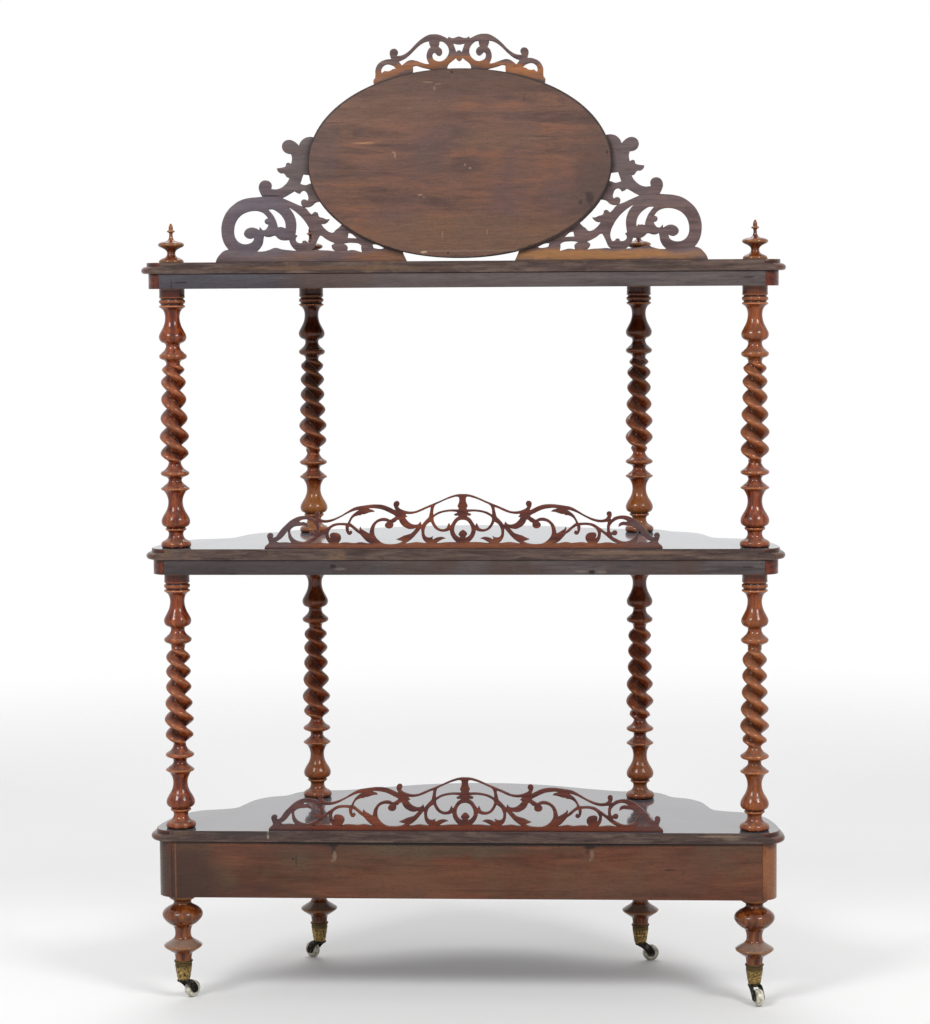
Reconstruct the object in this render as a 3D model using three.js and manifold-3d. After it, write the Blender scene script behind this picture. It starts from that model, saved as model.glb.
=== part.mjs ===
// A Victorian three-tier whatnot (etagere) in walnut. Three shelves with a moulded
// edge stand on turned double-twist posts, four to a tier. The top shelf carries a
// gallery: an oval mirror between two fret-cut brackets, with a fret-cut crest. A bowed
// drawer fills the deep frieze below the bottom shelf, and four turned legs end in
// brass castors with ceramic wheels.
//
// Millimetres. +Z is up and the front faces -Y. The origin is on the floor, under the
// middle of the shelves. Left and right are as seen from the front, so left is -X.
import * as THREE from 'three';
import { mergeVertices } from 'three/addons/utils/BufferGeometryUtils.js';
import Module from 'manifold-3d';

// Sizes of the shelves: the flat top of a board, and the moulded lip outside it.
const shelfWidth = 943;
const shelfDepth = 397;
const shelfThickness = 16.5;
const lipProjection = 9;

// The rail and the band under the top and the middle shelf.
const railHeight = 22.5;
const railThickness = 18;
const railSetback = 2;
const railHalfLengthShare = 0.9544;
const bandThickness = 15;
const bandSetback = 1.5;

// The posts between the shelves, and the twist cut in them.
const postLength = 388.5;
const postRadius = 22.6;
const postSides = 8;
const twistLead = 53.3;
const twistSteps = 19;
const twistSharpness = 1.5;
const padRadius = 34;

// The base under the bottom shelf.
const baseHeight = 86.5;
const baseSetback = 3;
const basePanelThickness = 18;
const baseBottomThickness = 12;
const baseBackHalfLengthShare = 0.9459;

// Finials, legs and castors.
const finialHeight = 58.5;
const finialRadius = 19.2;
const turnedSides = 10;
const legLength = 105;
const legRadius = 30.4;
const legPinLength = 16;
const legPinRadius = 9.5;
const cupLength = 28;
const cupRadius = 13.4;
const cupFloor = 2;
const pintleRadius = 3;
const crownThickness = 3.4;
const crownRadius = 8;
const wheelRadius = 13;
const wheelWidth = 11;
const wheelTrail = 17;
const cheekThickness = 2.5;
const axleRadius = 2;
const wheelSides = 12;

// Clearances: between pieces that touch, and between pieces that move.
const seatGap = 0.3;
const runningGap = 0.5;

// The gallery: an oval mirror with its backboard, and the fret-cut boards round it. It
// reaches along the top shelf to a gap beside each rear finial, and the oval takes a share
// of that width.
const galleryGap = 50.3;
const ovalWidthShare = 0.6139;
const ovalHeight = 277.6;
const ovalLift = 4;
const ovalPower = 2.06;
const ovalSteps = 36;
const crestArcSteps = 5;
const bracketArcSteps = 12;
const backboardThickness = 8;
const backboardSetback = 3;
const galleryBoardThickness = 7;
const tongueReach = 10;
const frameWidth = 34;
const frameDepth = 25;
const rebateWidth = 7;
const plateThickness = 5;
const spacerInset = 14;

// The back frets of the middle and the bottom shelf.
const fretWidth = 591;
const fretHeight = 81;
const fretThickness = 7;
const fretSetback = 6;

// The drawer in the base.
const drawerOpening = 446;
const drawerFrontThickness = 17.2;
const drawerGap = 1.2;
const drawerSideThickness = 10;
const drawerSideHeight = 56;
const drawerBackGap = 46;
const drawerBoxWidth = 426;
const drawerBottomThickness = 6;
const drawerBottomLift = 2;
const drawerBackDrop = 4;
const runnerHeight = 6;
const runnerWidth = 16;
const knobSpacing = 220;
const knobRadius = 12;
const knobLength = 22;
const knobSpigotRadius = 5;
const knobSpigotLength = 10;

// Half of the shelf's plan, from the middle of the back edge round to the middle of the
// front: the share of the half width, and the share of the depth from the back edge.
const planShares = [
  [0, 0], [0.9364, 0], [0.958, 0.0045], [0.981, 0.022], [0.996, 0.050], [1, 0.076],
  [0.997, 0.130], [0.985, 0.214],
  [0.957, 0.318], [0.905, 0.394], [0.838, 0.423], [0.797, 0.450], [0.778, 0.515],
  [0.755, 0.610], [0.715, 0.675], [0.658, 0.713], [0.630, 0.770], [0.595, 0.810],
  [0.534, 0.824], [0.480, 0.830], [0.384, 0.872], [0.256, 0.940], [0.150, 0.980],
  [0, 1],
];
const rearPostShare = [0.9226, 0.0705];
const frontPostShare = [0.5504, 0.695];

// The shelf's edge from its underside up: the share of the thickness, and the share of
// the lip's projection. A rounded lip, then a small step.
const edgeShares = [
  [0, 0.55], [0.34, 1], [0.62, 0.62], [0.66, 0.12], [1, 0],
];

// A post's turning, below and above the twist: the share of its length from the foot,
// and the share of its largest radius.
const postFootShares = [
  [0, 0.950], [0.018, 1], [0.030, 0.800], [0.040, 0.560], [0.056, 0.495], [0.073, 0.690],
  [0.088, 0.870], [0.108, 0.955], [0.128, 0.800], [0.160, 0.500], [0.195, 0.510],
  [0.2265, 0.940], [0.257, 0.412], [0.291, 0.950], [0.323, 0.412],
];
const postHeadShares = [
  [0.717, 0.440], [0.741, 0.903], [0.775, 0.434], [0.8135, 0.903], [0.840, 0.710],
  [0.868, 0.500], [0.900, 0.510], [0.919, 0.640], [0.929, 0.868], [1, 0.858],
];
// The twist: the share of the way up it, the crest's and the hollow's share of the radius.
const twistShares = [
  [0, 0.45, 0.43], [0.06, 0.91, 0.38], [0.24, 0.978, 0.363], [0.43, 0.903, 0.363],
  [0.62, 0.823, 0.363], [0.80, 0.823, 0.363], [0.94, 0.726, 0.38], [1, 0.47, 0.43],
];
// Where a crest lies square to the side, as a share of the post's length.
const twistDatumShare = 0.428;

const finialShares = [
  [0, 0.94], [0.045, 0.95], [0.12, 0.62], [0.24, 0.34], [0.34, 0.58], [0.44, 1],
  [0.50, 0.75], [0.58, 0.27], [0.69, 0.14], [0.81, 0.30], [0.89, 0.14], [1, 0.03],
];
// A leg's turning from its foot up: the share of its length, the share of its radius.
const legShares = [
  [0, 0.405], [0.07, 0.430], [0.11, 0.570], [0.14, 0.790], [0.19, 0.931], [0.235, 0.800],
  [0.27, 0.530], [0.37, 0.392], [0.47, 0.490], [0.56, 0.830], [0.65, 1], [0.72, 0.955],
  [0.79, 0.620], [0.85, 0.430], [0.93, 0.655], [1, 0.660],
];
// A castor's cup from its lower end up.
const cupShares = [
  [0, 0.640], [0.12, 0.730], [0.35, 0.815], [0.68, 0.925], [0.82, 1], [1, 1],
];
const wheelShares = [
  [0, 0.86], [0.13, 0.97], [0.32, 1],
];
// A knob from its seat outwards.
const knobShares = [
  [0, 0.75], [0.12, 0.72], [0.30, 0.45], [0.55, 0.75], [0.75, 1], [0.92, 0.75], [1, 0.40],
];
// Directions, in turns, in which each castor trails its wheel.
const trailTurns = { rear_left: 0.305, rear_right: 0.645, front_left: 0.548, front_right: 0.885 };

// Fretwork is drawn for one half and mirrored. The back frets: the share of the half
// width from the middle, and the share of the height. Crest: shares of the oval's half
// width and half height from its middle. Brackets: the same, but up from the shelf.
const fretEdgeShares = [
  [0, 1.006], [0.055, 0.974], [0.241, 0.691], [0.288, 0.694], [0.32, 0.744], [0.327, 0.773],
  [0.32, 0.836], [0.333, 0.88], [0.349, 0.834], [0.338, 0.707], [0.411, 0.809], [0.463, 0.813],
  [0.544, 0.767], [0.637, 0.582], [0.683, 0.531], [0.721, 0.55], [0.731, 0.6], [0.726, 0.631],
  [0.728, 0.668], [0.739, 0.684], [0.749, 0.668], [0.752, 0.631], [0.75, 0.531],
  [0.782, 0.594], [0.803, 0.605], [0.841, 0.584], [0.875, 0.52], [0.904, 0.425], [0.95, 0.224],
  [0.969, 0.203], [0.964, 0.245], [0.969, 0.277], [0.989, 0.277], [0.994, 0.24],
  [0.986, 0.113], [1.002, 0.055], [1.008, 0],
];
const fretEyeShares = [
  [0, 0.532], [0.02, 0.516], [0.034, 0.461], [0.043, 0.384], [0.042, 0.304], [0.031, 0.238],
  [0.012, 0.196], [0.015, 0.228], [0.023, 0.262], [0.015, 0.312], [0, 0.349],
];
const fretHoleShares = [
  [
    [0.95, 0.129], [0.913, 0.224], [0.89, 0.335], [0.885, 0.208], [0.87, 0.104],
  ],
  [
    [0.877, 0.335], [0.849, 0.414], [0.805, 0.428], [0.785, 0.399], [0.789, 0.452],
    [0.8, 0.481], [0.831, 0.502], [0.8, 0.543], [0.765, 0.502], [0.744, 0.409], [0.742, 0.356],
    [0.744, 0.303], [0.752, 0.293], [0.768, 0.333], [0.778, 0.314], [0.775, 0.251],
    [0.755, 0.251], [0.752, 0.232], [0.811, 0.126], [0.846, 0.152], [0.864, 0.198],
  ],
  [
    [0.785, 0.097], [0.765, 0.118], [0.699, 0.307], [0.694, 0.187], [0.677, 0.094],
  ],
  [
    [0.731, 0.492], [0.677, 0.491], [0.579, 0.658], [0.525, 0.719], [0.561, 0.616],
    [0.584, 0.471], [0.66, 0.452], [0.728, 0.291],
  ],
  [
    [0.68, 0.312], [0.657, 0.404], [0.637, 0.428], [0.594, 0.428], [0.59, 0.309],
    [0.581, 0.261], [0.57, 0.254], [0.561, 0.288], [0.565, 0.327], [0.578, 0.309],
    [0.577, 0.414], [0.521, 0.267], [0.486, 0.132], [0.467, 0.094], [0.523, 0.118],
    [0.633, 0.094], [0.619, 0.187], [0.622, 0.245], [0.634, 0.282], [0.667, 0.288],
    [0.674, 0.261], [0.667, 0.185], [0.681, 0.245],
  ],
  [
    [0.572, 0.471], [0.552, 0.582], [0.514, 0.619], [0.516, 0.635], [0.447, 0.68],
    [0.48, 0.739], [0.463, 0.749], [0.411, 0.728], [0.34, 0.601], [0.368, 0.532],
    [0.405, 0.567], [0.446, 0.5], [0.463, 0.421], [0.474, 0.278], [0.513, 0.362],
    [0.52, 0.404], [0.524, 0.367], [0.519, 0.309],
  ],
  [
    [0.45, 0.325], [0.438, 0.461], [0.422, 0.498], [0.382, 0.497], [0.394, 0.421],
    [0.386, 0.386], [0.371, 0.373], [0.357, 0.394], [0.354, 0.474], [0.323, 0.537],
    [0.306, 0.431], [0.289, 0.389], [0.269, 0.362], [0.237, 0.378], [0.262, 0.283],
    [0.338, 0.172], [0.305, 0.139], [0.341, 0.087], [0.405, 0.097], [0.443, 0.219],
  ],
  [
    [0.289, 0.641], [0.236, 0.659], [0.161, 0.768], [0.171, 0.59], [0.209, 0.431],
    [0.216, 0.498], [0.23, 0.447], [0.244, 0.442], [0.276, 0.497], [0.292, 0.577],
    [0.28, 0.588],
  ],
  [
    [0.295, 0.092], [0.253, 0.198], [0.211, 0.376], [0.207, 0.23], [0.198, 0.156],
    [0.181, 0.101], [0.236, 0.118],
  ],
  [
    [0.161, 0.497], [0.139, 0.368], [0.119, 0.325], [0.096, 0.312], [0.066, 0.344],
    [0.054, 0.209], [0.031, 0.115], [0.136, 0.099], [0.087, 0.187], [0.122, 0.212],
    [0.152, 0.166], [0.15, 0.232], [0.177, 0.205], [0.19, 0.235], [0.195, 0.304],
    [0.191, 0.378], [0.18, 0.45],
  ],
  [
    [0.147, 0.569], [0.104, 0.662], [0.055, 0.686], [0.029, 0.678], [0.026, 0.659],
    [0.044, 0.631], [0.021, 0.594], [0.037, 0.556], [0.064, 0.415], [0.072, 0.47],
    [0.084, 0.38], [0.101, 0.357], [0.122, 0.378], [0.136, 0.431],
  ],
  [
    [0.139, 0.8], [0.055, 0.938], [0.018, 0.949], [0.016, 0.898], [0.025, 0.786],
    [0.022, 0.72], [0.101, 0.7], [0.149, 0.622], [0.146, 0.749],
  ],
];
const crestEdgeShares = [
  [0, 1.337], [0.03, 1.323], [0.049, 1.323], [0.067, 1.337], [0.073, 1.316], [0.134, 1.359],
  [0.196, 1.359], [0.258, 1.301], [0.341, 1.175], [0.369, 1.15], [0.412, 1.141],
  [0.404, 1.189], [0.414, 1.211], [0.431, 1.216], [0.449, 1.202], [0.456, 1.175],
  [0.447, 1.108], [0.497, 1.095], [0.525, 1.07], [0.544, 1.031], [0.554, 0.914],
  [0.566, 0.881],
];
const crestNotchShares = [
  [0.305, 0.965], [0.305, 1.028], [0.282, 1.034], [0.189, 0.991],
];
const crestArchShares = [
  [0.078, 0.997], [0.077, 1.025], [0.064, 1.058], [0.021, 1.115], [0.014, 1.092], [0, 1.078],
];
const crestEyeShares = [
  [0, 1.254], [0.039, 1.265], [0.018, 1.173], [0.009, 1.189], [0, 1.193],
];
const crestHoleShares = [
  [
    [0.397, 1.083], [0.341, 1.129], [0.258, 1.252], [0.227, 1.28], [0.198, 1.292],
    [0.186, 1.228], [0.208, 1.18], [0.214, 1.136], [0.209, 1.092], [0.197, 1.052],
    [0.22, 1.054], [0.314, 1.096], [0.341, 1.083], [0.376, 1.04],
  ],
  [
    [0.129, 1.288], [0.111, 1.286], [0.089, 1.262], [0.072, 1.225], [0.066, 1.18],
    [0.075, 1.136], [0.096, 1.098], [0.123, 1.079], [0.151, 1.085], [0.171, 1.108],
    [0.176, 1.136], [0.171, 1.163], [0.159, 1.17], [0.137, 1.137], [0.123, 1.14],
    [0.112, 1.169], [0.115, 1.202], [0.136, 1.23],
  ],
  [
    [0.512, 0.959], [0.515, 0.987], [0.507, 1.02], [0.49, 1.045], [0.469, 1.052],
    [0.445, 1.042], [0.418, 1.007], [0.438, 1.002], [0.452, 0.987], [0.49, 0.983],
  ],
];
const bracketEdgeShares = [
  [1.629, 0], [1.62, 0.04], [1.6, 0.082], [1.573, 0.121], [1.542, 0.136], [1.562, 0.178],
  [1.579, 0.239], [1.587, 0.317], [1.585, 0.395], [1.571, 0.473], [1.545, 0.547],
  [1.507, 0.608], [1.458, 0.658], [1.405, 0.682], [1.312, 0.695], [1.334, 0.789],
  [1.327, 0.835], [1.307, 0.864], [1.285, 0.869], [1.261, 0.853], [1.25, 0.817],
  [1.254, 0.778], [1.223, 0.773], [1.192, 0.784], [1.161, 0.817], [1.129, 0.891],
  [1.145, 0.899], [1.165, 0.938], [1.188, 0.942], [1.205, 0.963], [1.213, 0.995],
  [1.153, 1.018], [1.149, 1.045], [1.134, 1.055], [1.117, 1.04], [1.111, 1.112],
  [1.117, 1.144], [1.139, 1.149], [1.161, 1.169], [1.175, 1.208], [1.173, 1.251],
  [1.157, 1.283], [1.128, 1.296], [1.101, 1.284], [1.064, 1.232], [1.054, 1.268],
  [1.032, 1.305], [1.001, 1.324], [0.966, 1.322],
];
// Where a bracket's hidden edge starts and ends, in turns round the oval.
const bracketArcTurns = [0.046, -0.185];
const bracketToeShares = [
  [0.382, 0.088], [0.358, 0],
];
const bracketHoleShares = [
  [
    [1.04, 0.927], [0.975, 0.91], [0.961, 0.832], [0.992, 0.832], [1.02, 0.816], [1.06, 0.83],
  ],
  [
    [1.179, 0.679], [1.097, 0.751], [1.063, 0.722], [1.05, 0.749], [1.032, 0.753],
    [1.017, 0.736], [1.005, 0.672], [1.012, 0.65], [1.032, 0.665], [1.051, 0.65],
    [1.054, 0.622], [1.046, 0.59],
  ],
  [
    [1.034, 0.58], [1.006, 0.58], [0.984, 0.594], [0.961, 0.626], [0.939, 0.636],
    [0.911, 0.636], [0.851, 0.496], [0.787, 0.394], [0.843, 0.311], [0.867, 0.314],
    [0.895, 0.343], [0.923, 0.4], [0.903, 0.401], [0.883, 0.419], [0.867, 0.454],
    [0.887, 0.451], [0.937, 0.48], [0.945, 0.518], [0.961, 0.531], [0.986, 0.502],
  ],
  [
    [1.505, 0.331], [1.5, 0.391], [1.483, 0.452], [1.454, 0.501], [1.418, 0.53],
    [1.374, 0.544], [1.334, 0.538], [1.303, 0.516], [1.276, 0.466], [1.294, 0.452],
    [1.298, 0.427], [1.287, 0.403], [1.273, 0.398], [1.296, 0.344], [1.312, 0.339],
    [1.332, 0.373], [1.335, 0.338], [1.356, 0.359], [1.383, 0.37], [1.412, 0.359],
    [1.431, 0.331], [1.437, 0.299], [1.425, 0.266], [1.401, 0.248], [1.37, 0.263],
    [1.376, 0.228], [1.396, 0.203], [1.431, 0.192], [1.467, 0.207], [1.491, 0.242],
    [1.503, 0.288],
  ],
  [
    [1.274, 0.558], [1.245, 0.558], [1.214, 0.533], [1.185, 0.491], [1.165, 0.437],
    [1.16, 0.354], [1.179, 0.37], [1.213, 0.366], [1.23, 0.459],
  ],
  [
    [1.141, 0.583], [1.072, 0.505], [1.037, 0.445], [1.008, 0.373], [0.99, 0.302],
    [0.988, 0.246], [0.999, 0.2], [1.014, 0.203], [1.028, 0.226], [1.046, 0.224], [1.052, 0.2],
    [1.077, 0.203], [1.094, 0.228], [1.094, 0.253], [1.082, 0.278], [1.097, 0.292],
    [1.09, 0.409], [1.101, 0.487],
  ],
  [
    [1.306, 0.281], [1.267, 0.266], [1.23, 0.278], [1.21, 0.249], [1.183, 0.23],
    [1.137, 0.232], [1.128, 0.189], [1.09, 0.119], [1.232, 0.152], [1.312, 0.114],
    [1.354, 0.114], [1.332, 0.15], [1.316, 0.196],
  ],
  [
    [0.935, 0.276], [0.923, 0.276], [0.835, 0.196], [0.855, 0.174], [0.853, 0.148],
    [0.835, 0.112], [0.963, 0.127], [0.99, 0.121], [0.974, 0.145],
  ],
  [
    [0.744, 0.301], [0.724, 0.295], [0.688, 0.247], [0.75, 0.252],
  ],
  [
    [0.775, 0.19], [0.748, 0.198], [0.676, 0.19], [0.658, 0.171], [0.654, 0.099],
    [0.712, 0.123], [0.755, 0.117], [0.75, 0.152], [0.758, 0.174],
  ],
  [
    [0.586, 0.18], [0.557, 0.177], [0.509, 0.142], [0.521, 0.134], [0.579, 0.145],
  ],
];

const halfWidth = shelfWidth / 2;

// The rear legs stand out a little behind the shelves, and the origin is midway between
// the rearmost leg and the foremost lip.
const legOverhang = legRadius - rearPostShare[1] * shelfDepth;
const backY = (shelfDepth + lipProjection - legOverhang) / 2;

const wheelCentreZ = wheelRadius;
const crownTopZ = 2 * wheelRadius + runningGap + crownThickness;
const cupBottomZ = crownTopZ + seatGap;
const legBottomZ = cupBottomZ + cupLength;
const baseBottomZ = legBottomZ + legLength;
const baseTopZ = baseBottomZ + baseHeight;
const lowerDeckZ = baseTopZ + shelfThickness;
const middleRailZ = lowerDeckZ + postLength;
const middleBoardZ = middleRailZ + railHeight;
const middleDeckZ = middleBoardZ + shelfThickness;
const topRailZ = middleDeckZ + postLength;
const topBoardZ = topRailZ + railHeight;
const topDeckZ = topBoardZ + shelfThickness;

const wasm = await Module();
wasm.setup();

const material = (color, roughness, metalness = 0) =>
  new THREE.MeshStandardMaterial({ color, roughness, metalness });
const polishedWalnut = material('#5a2a17', 0.28);
const turnedWalnut = material('#6b3118', 0.25);
const fretWalnut = material('#5b3023', 0.5);
const rawWalnut = material('#4a3630', 0.75);
const drawerWood = material('#9a7048', 0.7);
const brass = material('#9c7434', 0.35, 1);
const darkMetal = material('#2c2620', 0.5, 1);
const ceramic = material('#e8e2d4', 0.2);
const silvered = material('#d5d9dc', 0.05, 1);

// Turns a geometry into a solid that can be joined and cut.
function solid(geometry) {
  const bare = geometry.clone();
  bare.deleteAttribute('normal');
  bare.deleteAttribute('uv');
  const merged = mergeVertices(bare);
  return new wasm.Manifold(new wasm.Mesh({
    numProp: 3,
    vertProperties: new Float32Array(merged.attributes.position.array),
    triVerts: new Uint32Array(merged.index.array),
  }));
}

function geometryOf(body) {
  const mesh = body.getMesh();
  const geometry = new THREE.BufferGeometry();
  const places = new Float32Array(mesh.vertProperties);
  geometry.setAttribute('position', new THREE.BufferAttribute(places, 3));
  geometry.setIndex(new THREE.BufferAttribute(new Uint32Array(mesh.triVerts), 1));
  geometry.computeVertexNormals();
  return geometry;
}

const cut = (from, ...tools) =>
  geometryOf(tools.reduce((body, tool) => body.subtract(solid(tool)), solid(from)));
const join = (first, ...others) =>
  geometryOf(others.reduce((body, other) => body.add(solid(other)), solid(first)));

// A closed surface through rings that all have the same number of points, each ring
// counter-clockwise seen from the last one, with flat ends.
function skin(rings) {
  const count = rings[0].length;
  const places = rings.flat().flatMap((p) => [p.x, p.y, p.z]);
  const index = [];
  for (let level = 0; level < rings.length - 1; level++) {
    for (let i = 0; i < count; i++) {
      const a = level * count + i;
      const b = level * count + ((i + 1) % count);
      index.push(a, b, b + count, a, b + count, a + count);
    }
  }
  const cap = (ring) =>
    THREE.ShapeUtils.triangulateShape(ring.map((p) => new THREE.Vector2(p.x, p.y)), []);
  const top = (rings.length - 1) * count;
  cap(rings[0]).forEach(([a, b, c]) => index.push(a, c, b));
  cap(rings[rings.length - 1]).forEach(([a, b, c]) => index.push(top + a, top + b, top + c));
  const geometry = new THREE.BufferGeometry();
  geometry.setAttribute('position', new THREE.Float32BufferAttribute(places, 3));
  geometry.setIndex(index);
  geometry.computeVertexNormals();
  return geometry;
}

// A turned piece standing on the origin, from shares of its length and largest radius.
function turned(shares, length, radius, sides = turnedSides) {
  const profile = shares.map(([up, out]) => new THREE.Vector2(out * radius, up * length));
  const closed = [new THREE.Vector2(0, profile[0].y), ...profile,
    new THREE.Vector2(0, profile[profile.length - 1].y)];
  return new THREE.LatheGeometry(closed, sides).rotateX(Math.PI / 2);
}

const rod = (radius, length, sides = turnedSides) =>
  new THREE.CylinderGeometry(radius, radius, length, sides)
    .rotateX(Math.PI / 2).translate(0, 0, length / 2);

// A box given by its lowest and highest corner.
const block = (x0, x1, y0, y1, z0, z1) =>
  new THREE.BoxGeometry(x1 - x0, y1 - y0, z1 - z0)
    .translate((x0 + x1) / 2, (y0 + y1) / 2, (z0 + z1) / 2);

// A board lying flat: its outline in plan, from one height to another.
function slab(outline, z0, z1, holes = []) {
  const wind = (loop, back) => (THREE.ShapeUtils.isClockWise(loop) === back ? loop
    : [...loop].reverse());
  const shape = new THREE.Shape(wind(outline, false));
  shape.holes = holes.map((hole) => new THREE.Path(wind(hole, true)));
  return new THREE.ExtrudeGeometry(shape, { depth: z1 - z0, bevelEnabled: false })
    .translate(0, 0, z0);
}

// A board standing up: its outline seen from the front, from one depth to another.
function panel(outline, y0, y1, holes = []) {
  return slab(outline, 0, y1 - y0, holes).rotateX(Math.PI / 2).translate(0, y1, 0);
}

// Moves an outline outwards by a distance; points that held() picks stay where they are.
function grow(loop, reach, held = () => false) {
  const count = loop.length;
  return loop.map((p, i) => {
    if (held(p, i)) return p.clone();
    const before = p.clone().sub(loop[(i + count - 1) % count]).normalize();
    const after = loop[(i + 1) % count].clone().sub(p).normalize();
    const normal = new THREE.Vector2(before.y + after.y, -before.x - after.x).normalize();
    const stretch = 1 / Math.max(normal.x * after.y - normal.y * after.x, Math.SQRT1_2);
    return p.clone().addScaledVector(normal, reach * stretch);
  });
}

// The outline moved inwards, with sharp corners. Its first point can be anywhere on it.
function inset(loop, reach) {
  const [outline] = new wasm.CrossSection([loop.map((p) => [p.x, p.y])])
    .offset(-reach, 'Miter').toPolygons();
  return outline.map(([x, y]) => new THREE.Vector2(x, y));
}

// The plan of a shelf's flat top, counter-clockwise from the middle of the back.
const planPoint = ([across, deep]) =>
  new THREE.Vector2(across * halfWidth, backY - deep * shelfDepth);
const rightHalf = planShares.map(planPoint);
const leftHalf = rightHalf.map((p) => new THREE.Vector2(-p.x, p.y));
const plan = [...leftHalf, ...rightHalf.slice(1, -1).reverse()];
const onBackEdge = (p) => p.y > backY - seatGap;

const rearPost = planPoint(rearPostShare);
const frontPost = planPoint(frontPostShare);
const postPlaces = {
  rear_left: [-rearPost.x, rearPost.y],
  rear_right: [rearPost.x, rearPost.y],
  front_left: [-frontPost.x, frontPost.y],
  front_right: [frontPost.x, frontPost.y],
};

const group = new THREE.Group();
function add(name, geometry, look, parent = group) {
  const mesh = new THREE.Mesh(geometry, look);
  mesh.name = name;
  parent.add(mesh);
  return mesh;
}

// Shelves: a flat board with a rounded lip and a small step; the back edge is plain.
function shelf(z) {
  return skin(edgeShares.map(([up, out]) =>
    grow(plan, out * lipProjection, onBackEdge).map((p) =>
      new THREE.Vector3(p.x, Math.min(p.y, backY), z + up * shelfThickness))));
}
add('shelf_bottom', shelf(baseTopZ), polishedWalnut);
add('shelf_middle', shelf(middleBoardZ), polishedWalnut);
add('shelf_top', shelf(topBoardZ), polishedWalnut);

// Under the top and middle shelf: a straight rail at the back, and a bent band from one of
// its ends round the front to the other, which widens to a pad over each post.
const railBackY = backY - railSetback;
const railFrontY = railBackY - railThickness;
const railHalfLength = railHalfLengthShare * halfWidth;
const bandOuter = inset(plan, bandSetback);
const bandInner = inset(plan, bandSetback + bandThickness);
const railStretch = railHalfLength + seatGap;
function band(z) {
  const outer = solid(slab(bandOuter, z, z + railHeight));
  const [below, above] = [z - railHeight, z + 2 * railHeight];
  const hollow = solid(slab(bandInner, below, above));
  const besideRail = outer.subtract(solid(block(-railStretch, railStretch, railFrontY,
    shelfDepth, below, above)));
  const pads = Object.values(postPlaces).map(([x, y]) =>
    solid(rod(padRadius, railHeight).translate(x, y, z)).intersect(besideRail));
  return geometryOf(pads.reduce((body, pad) => body.add(pad), besideRail.subtract(hollow)));
}
for (const [name, z] of [['middle', middleRailZ], ['top', topRailZ]]) {
  add(`back_rail_${name}`, block(-railHalfLength, railHalfLength, railFrontY, railBackY,
    z, z + railHeight), rawWalnut);
  add(`frieze_band_${name}`, band(z), polishedWalnut);
}

// Base: a straight back board, two side boards bent round from it to the drawer's
// opening, and a bottom board between them that carries the legs and the runners.
const baseOuter = inset(plan, baseSetback);
const baseInnerReach = baseSetback + basePanelThickness;
const baseBackY = backY - baseSetback;
const baseBackFrontY = backY - baseInnerReach;
const baseBackHalf = baseBackHalfLengthShare * halfWidth;
add('base_back_board', block(-baseBackHalf, baseBackHalf, baseBackFrontY, baseBackY,
  baseBottomZ, baseTopZ), rawWalnut);

// The side boards are a frame round the base, less the back board's stretch and the
// drawer's opening.
const opening = drawerOpening / 2;
const backStretch = baseBackHalf + seatGap;
const underBaseZ = baseBottomZ - baseHeight;
const overBaseZ = baseTopZ + baseHeight;
const baseFrame = solid(slab(baseOuter, baseBottomZ, baseTopZ))
  .subtract(solid(slab(inset(plan, baseInnerReach), underBaseZ, overBaseZ)))
  .subtract(solid(block(-backStretch, backStretch, baseBackFrontY, shelfDepth,
    underBaseZ, overBaseZ)))
  .subtract(solid(block(-opening, opening, -shelfDepth, 0, underBaseZ, overBaseZ)));
const baseSide = (sign) => geometryOf(baseFrame.trimByPlane([sign, 0, 0], 0));
add('base_side_left', baseSide(-1), polishedWalnut);
add('base_side_right', baseSide(1), polishedWalnut);
add('base_bottom_board', slab(inset(plan, baseInnerReach + seatGap), baseBottomZ,
  baseBottomZ + baseBottomThickness), rawWalnut);

// Posts: a double left-handed twist between a turned foot and a turned head. Each ring of
// points turns with the twist, so that its crests and hollows run along the rings.
const mix = (table, at, column) => {
  const next = Math.max(1, table.findIndex((row) => row[0] >= at));
  const [low, high] = [table[next - 1], table[next]];
  return THREE.MathUtils.mapLinear(at, low[0], high[0], low[column], high[column]);
};
function post() {
  const start = postFootShares.at(-1)[0] * postLength;
  const end = postHeadShares[0][0] * postLength;
  const turn = (z) => (-2 * Math.PI * (z - twistDatumShare * postLength)) / twistLead;
  const ring = (z, phase, radius) =>
    Array.from({ length: postSides }, (_, i) => {
      const angle = (2 * Math.PI * i) / postSides;
      const r = radius(angle);
      return new THREE.Vector3(r * Math.cos(angle + phase), r * Math.sin(angle + phase), z);
    });
  const foot = postFootShares.map(([up, out]) =>
    ring(up * postLength, turn(start), () => out * postRadius));
  const head = postHeadShares.map(([up, out]) =>
    ring(up * postLength, turn(end), () => out * postRadius));
  const twist = [];
  for (let step = 1; step < twistSteps; step++) {
    const at = step / twistSteps;
    const z = THREE.MathUtils.lerp(start, end, at);
    const [crest, hollow] = [mix(twistShares, at, 1), mix(twistShares, at, 2)];
    twist.push(ring(z, turn(z), (angle) => postRadius
      * (hollow + (crest - hollow) * ((1 + Math.cos(2 * angle)) / 2) ** twistSharpness)));
  }
  return skin([...foot, ...twist, ...head]);
}

for (const [place, [x, y]] of Object.entries(postPlaces)) {
  add(`post_lower_${place}`, post(), turnedWalnut).position.set(x, y, lowerDeckZ);
  add(`post_upper_${place}`, post(), turnedWalnut).position.set(x, y, middleDeckZ);
  add(`finial_${place}`, turned(finialShares, finialHeight, finialRadius), turnedWalnut)
    .position.set(x, y, topDeckZ);
}

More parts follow.
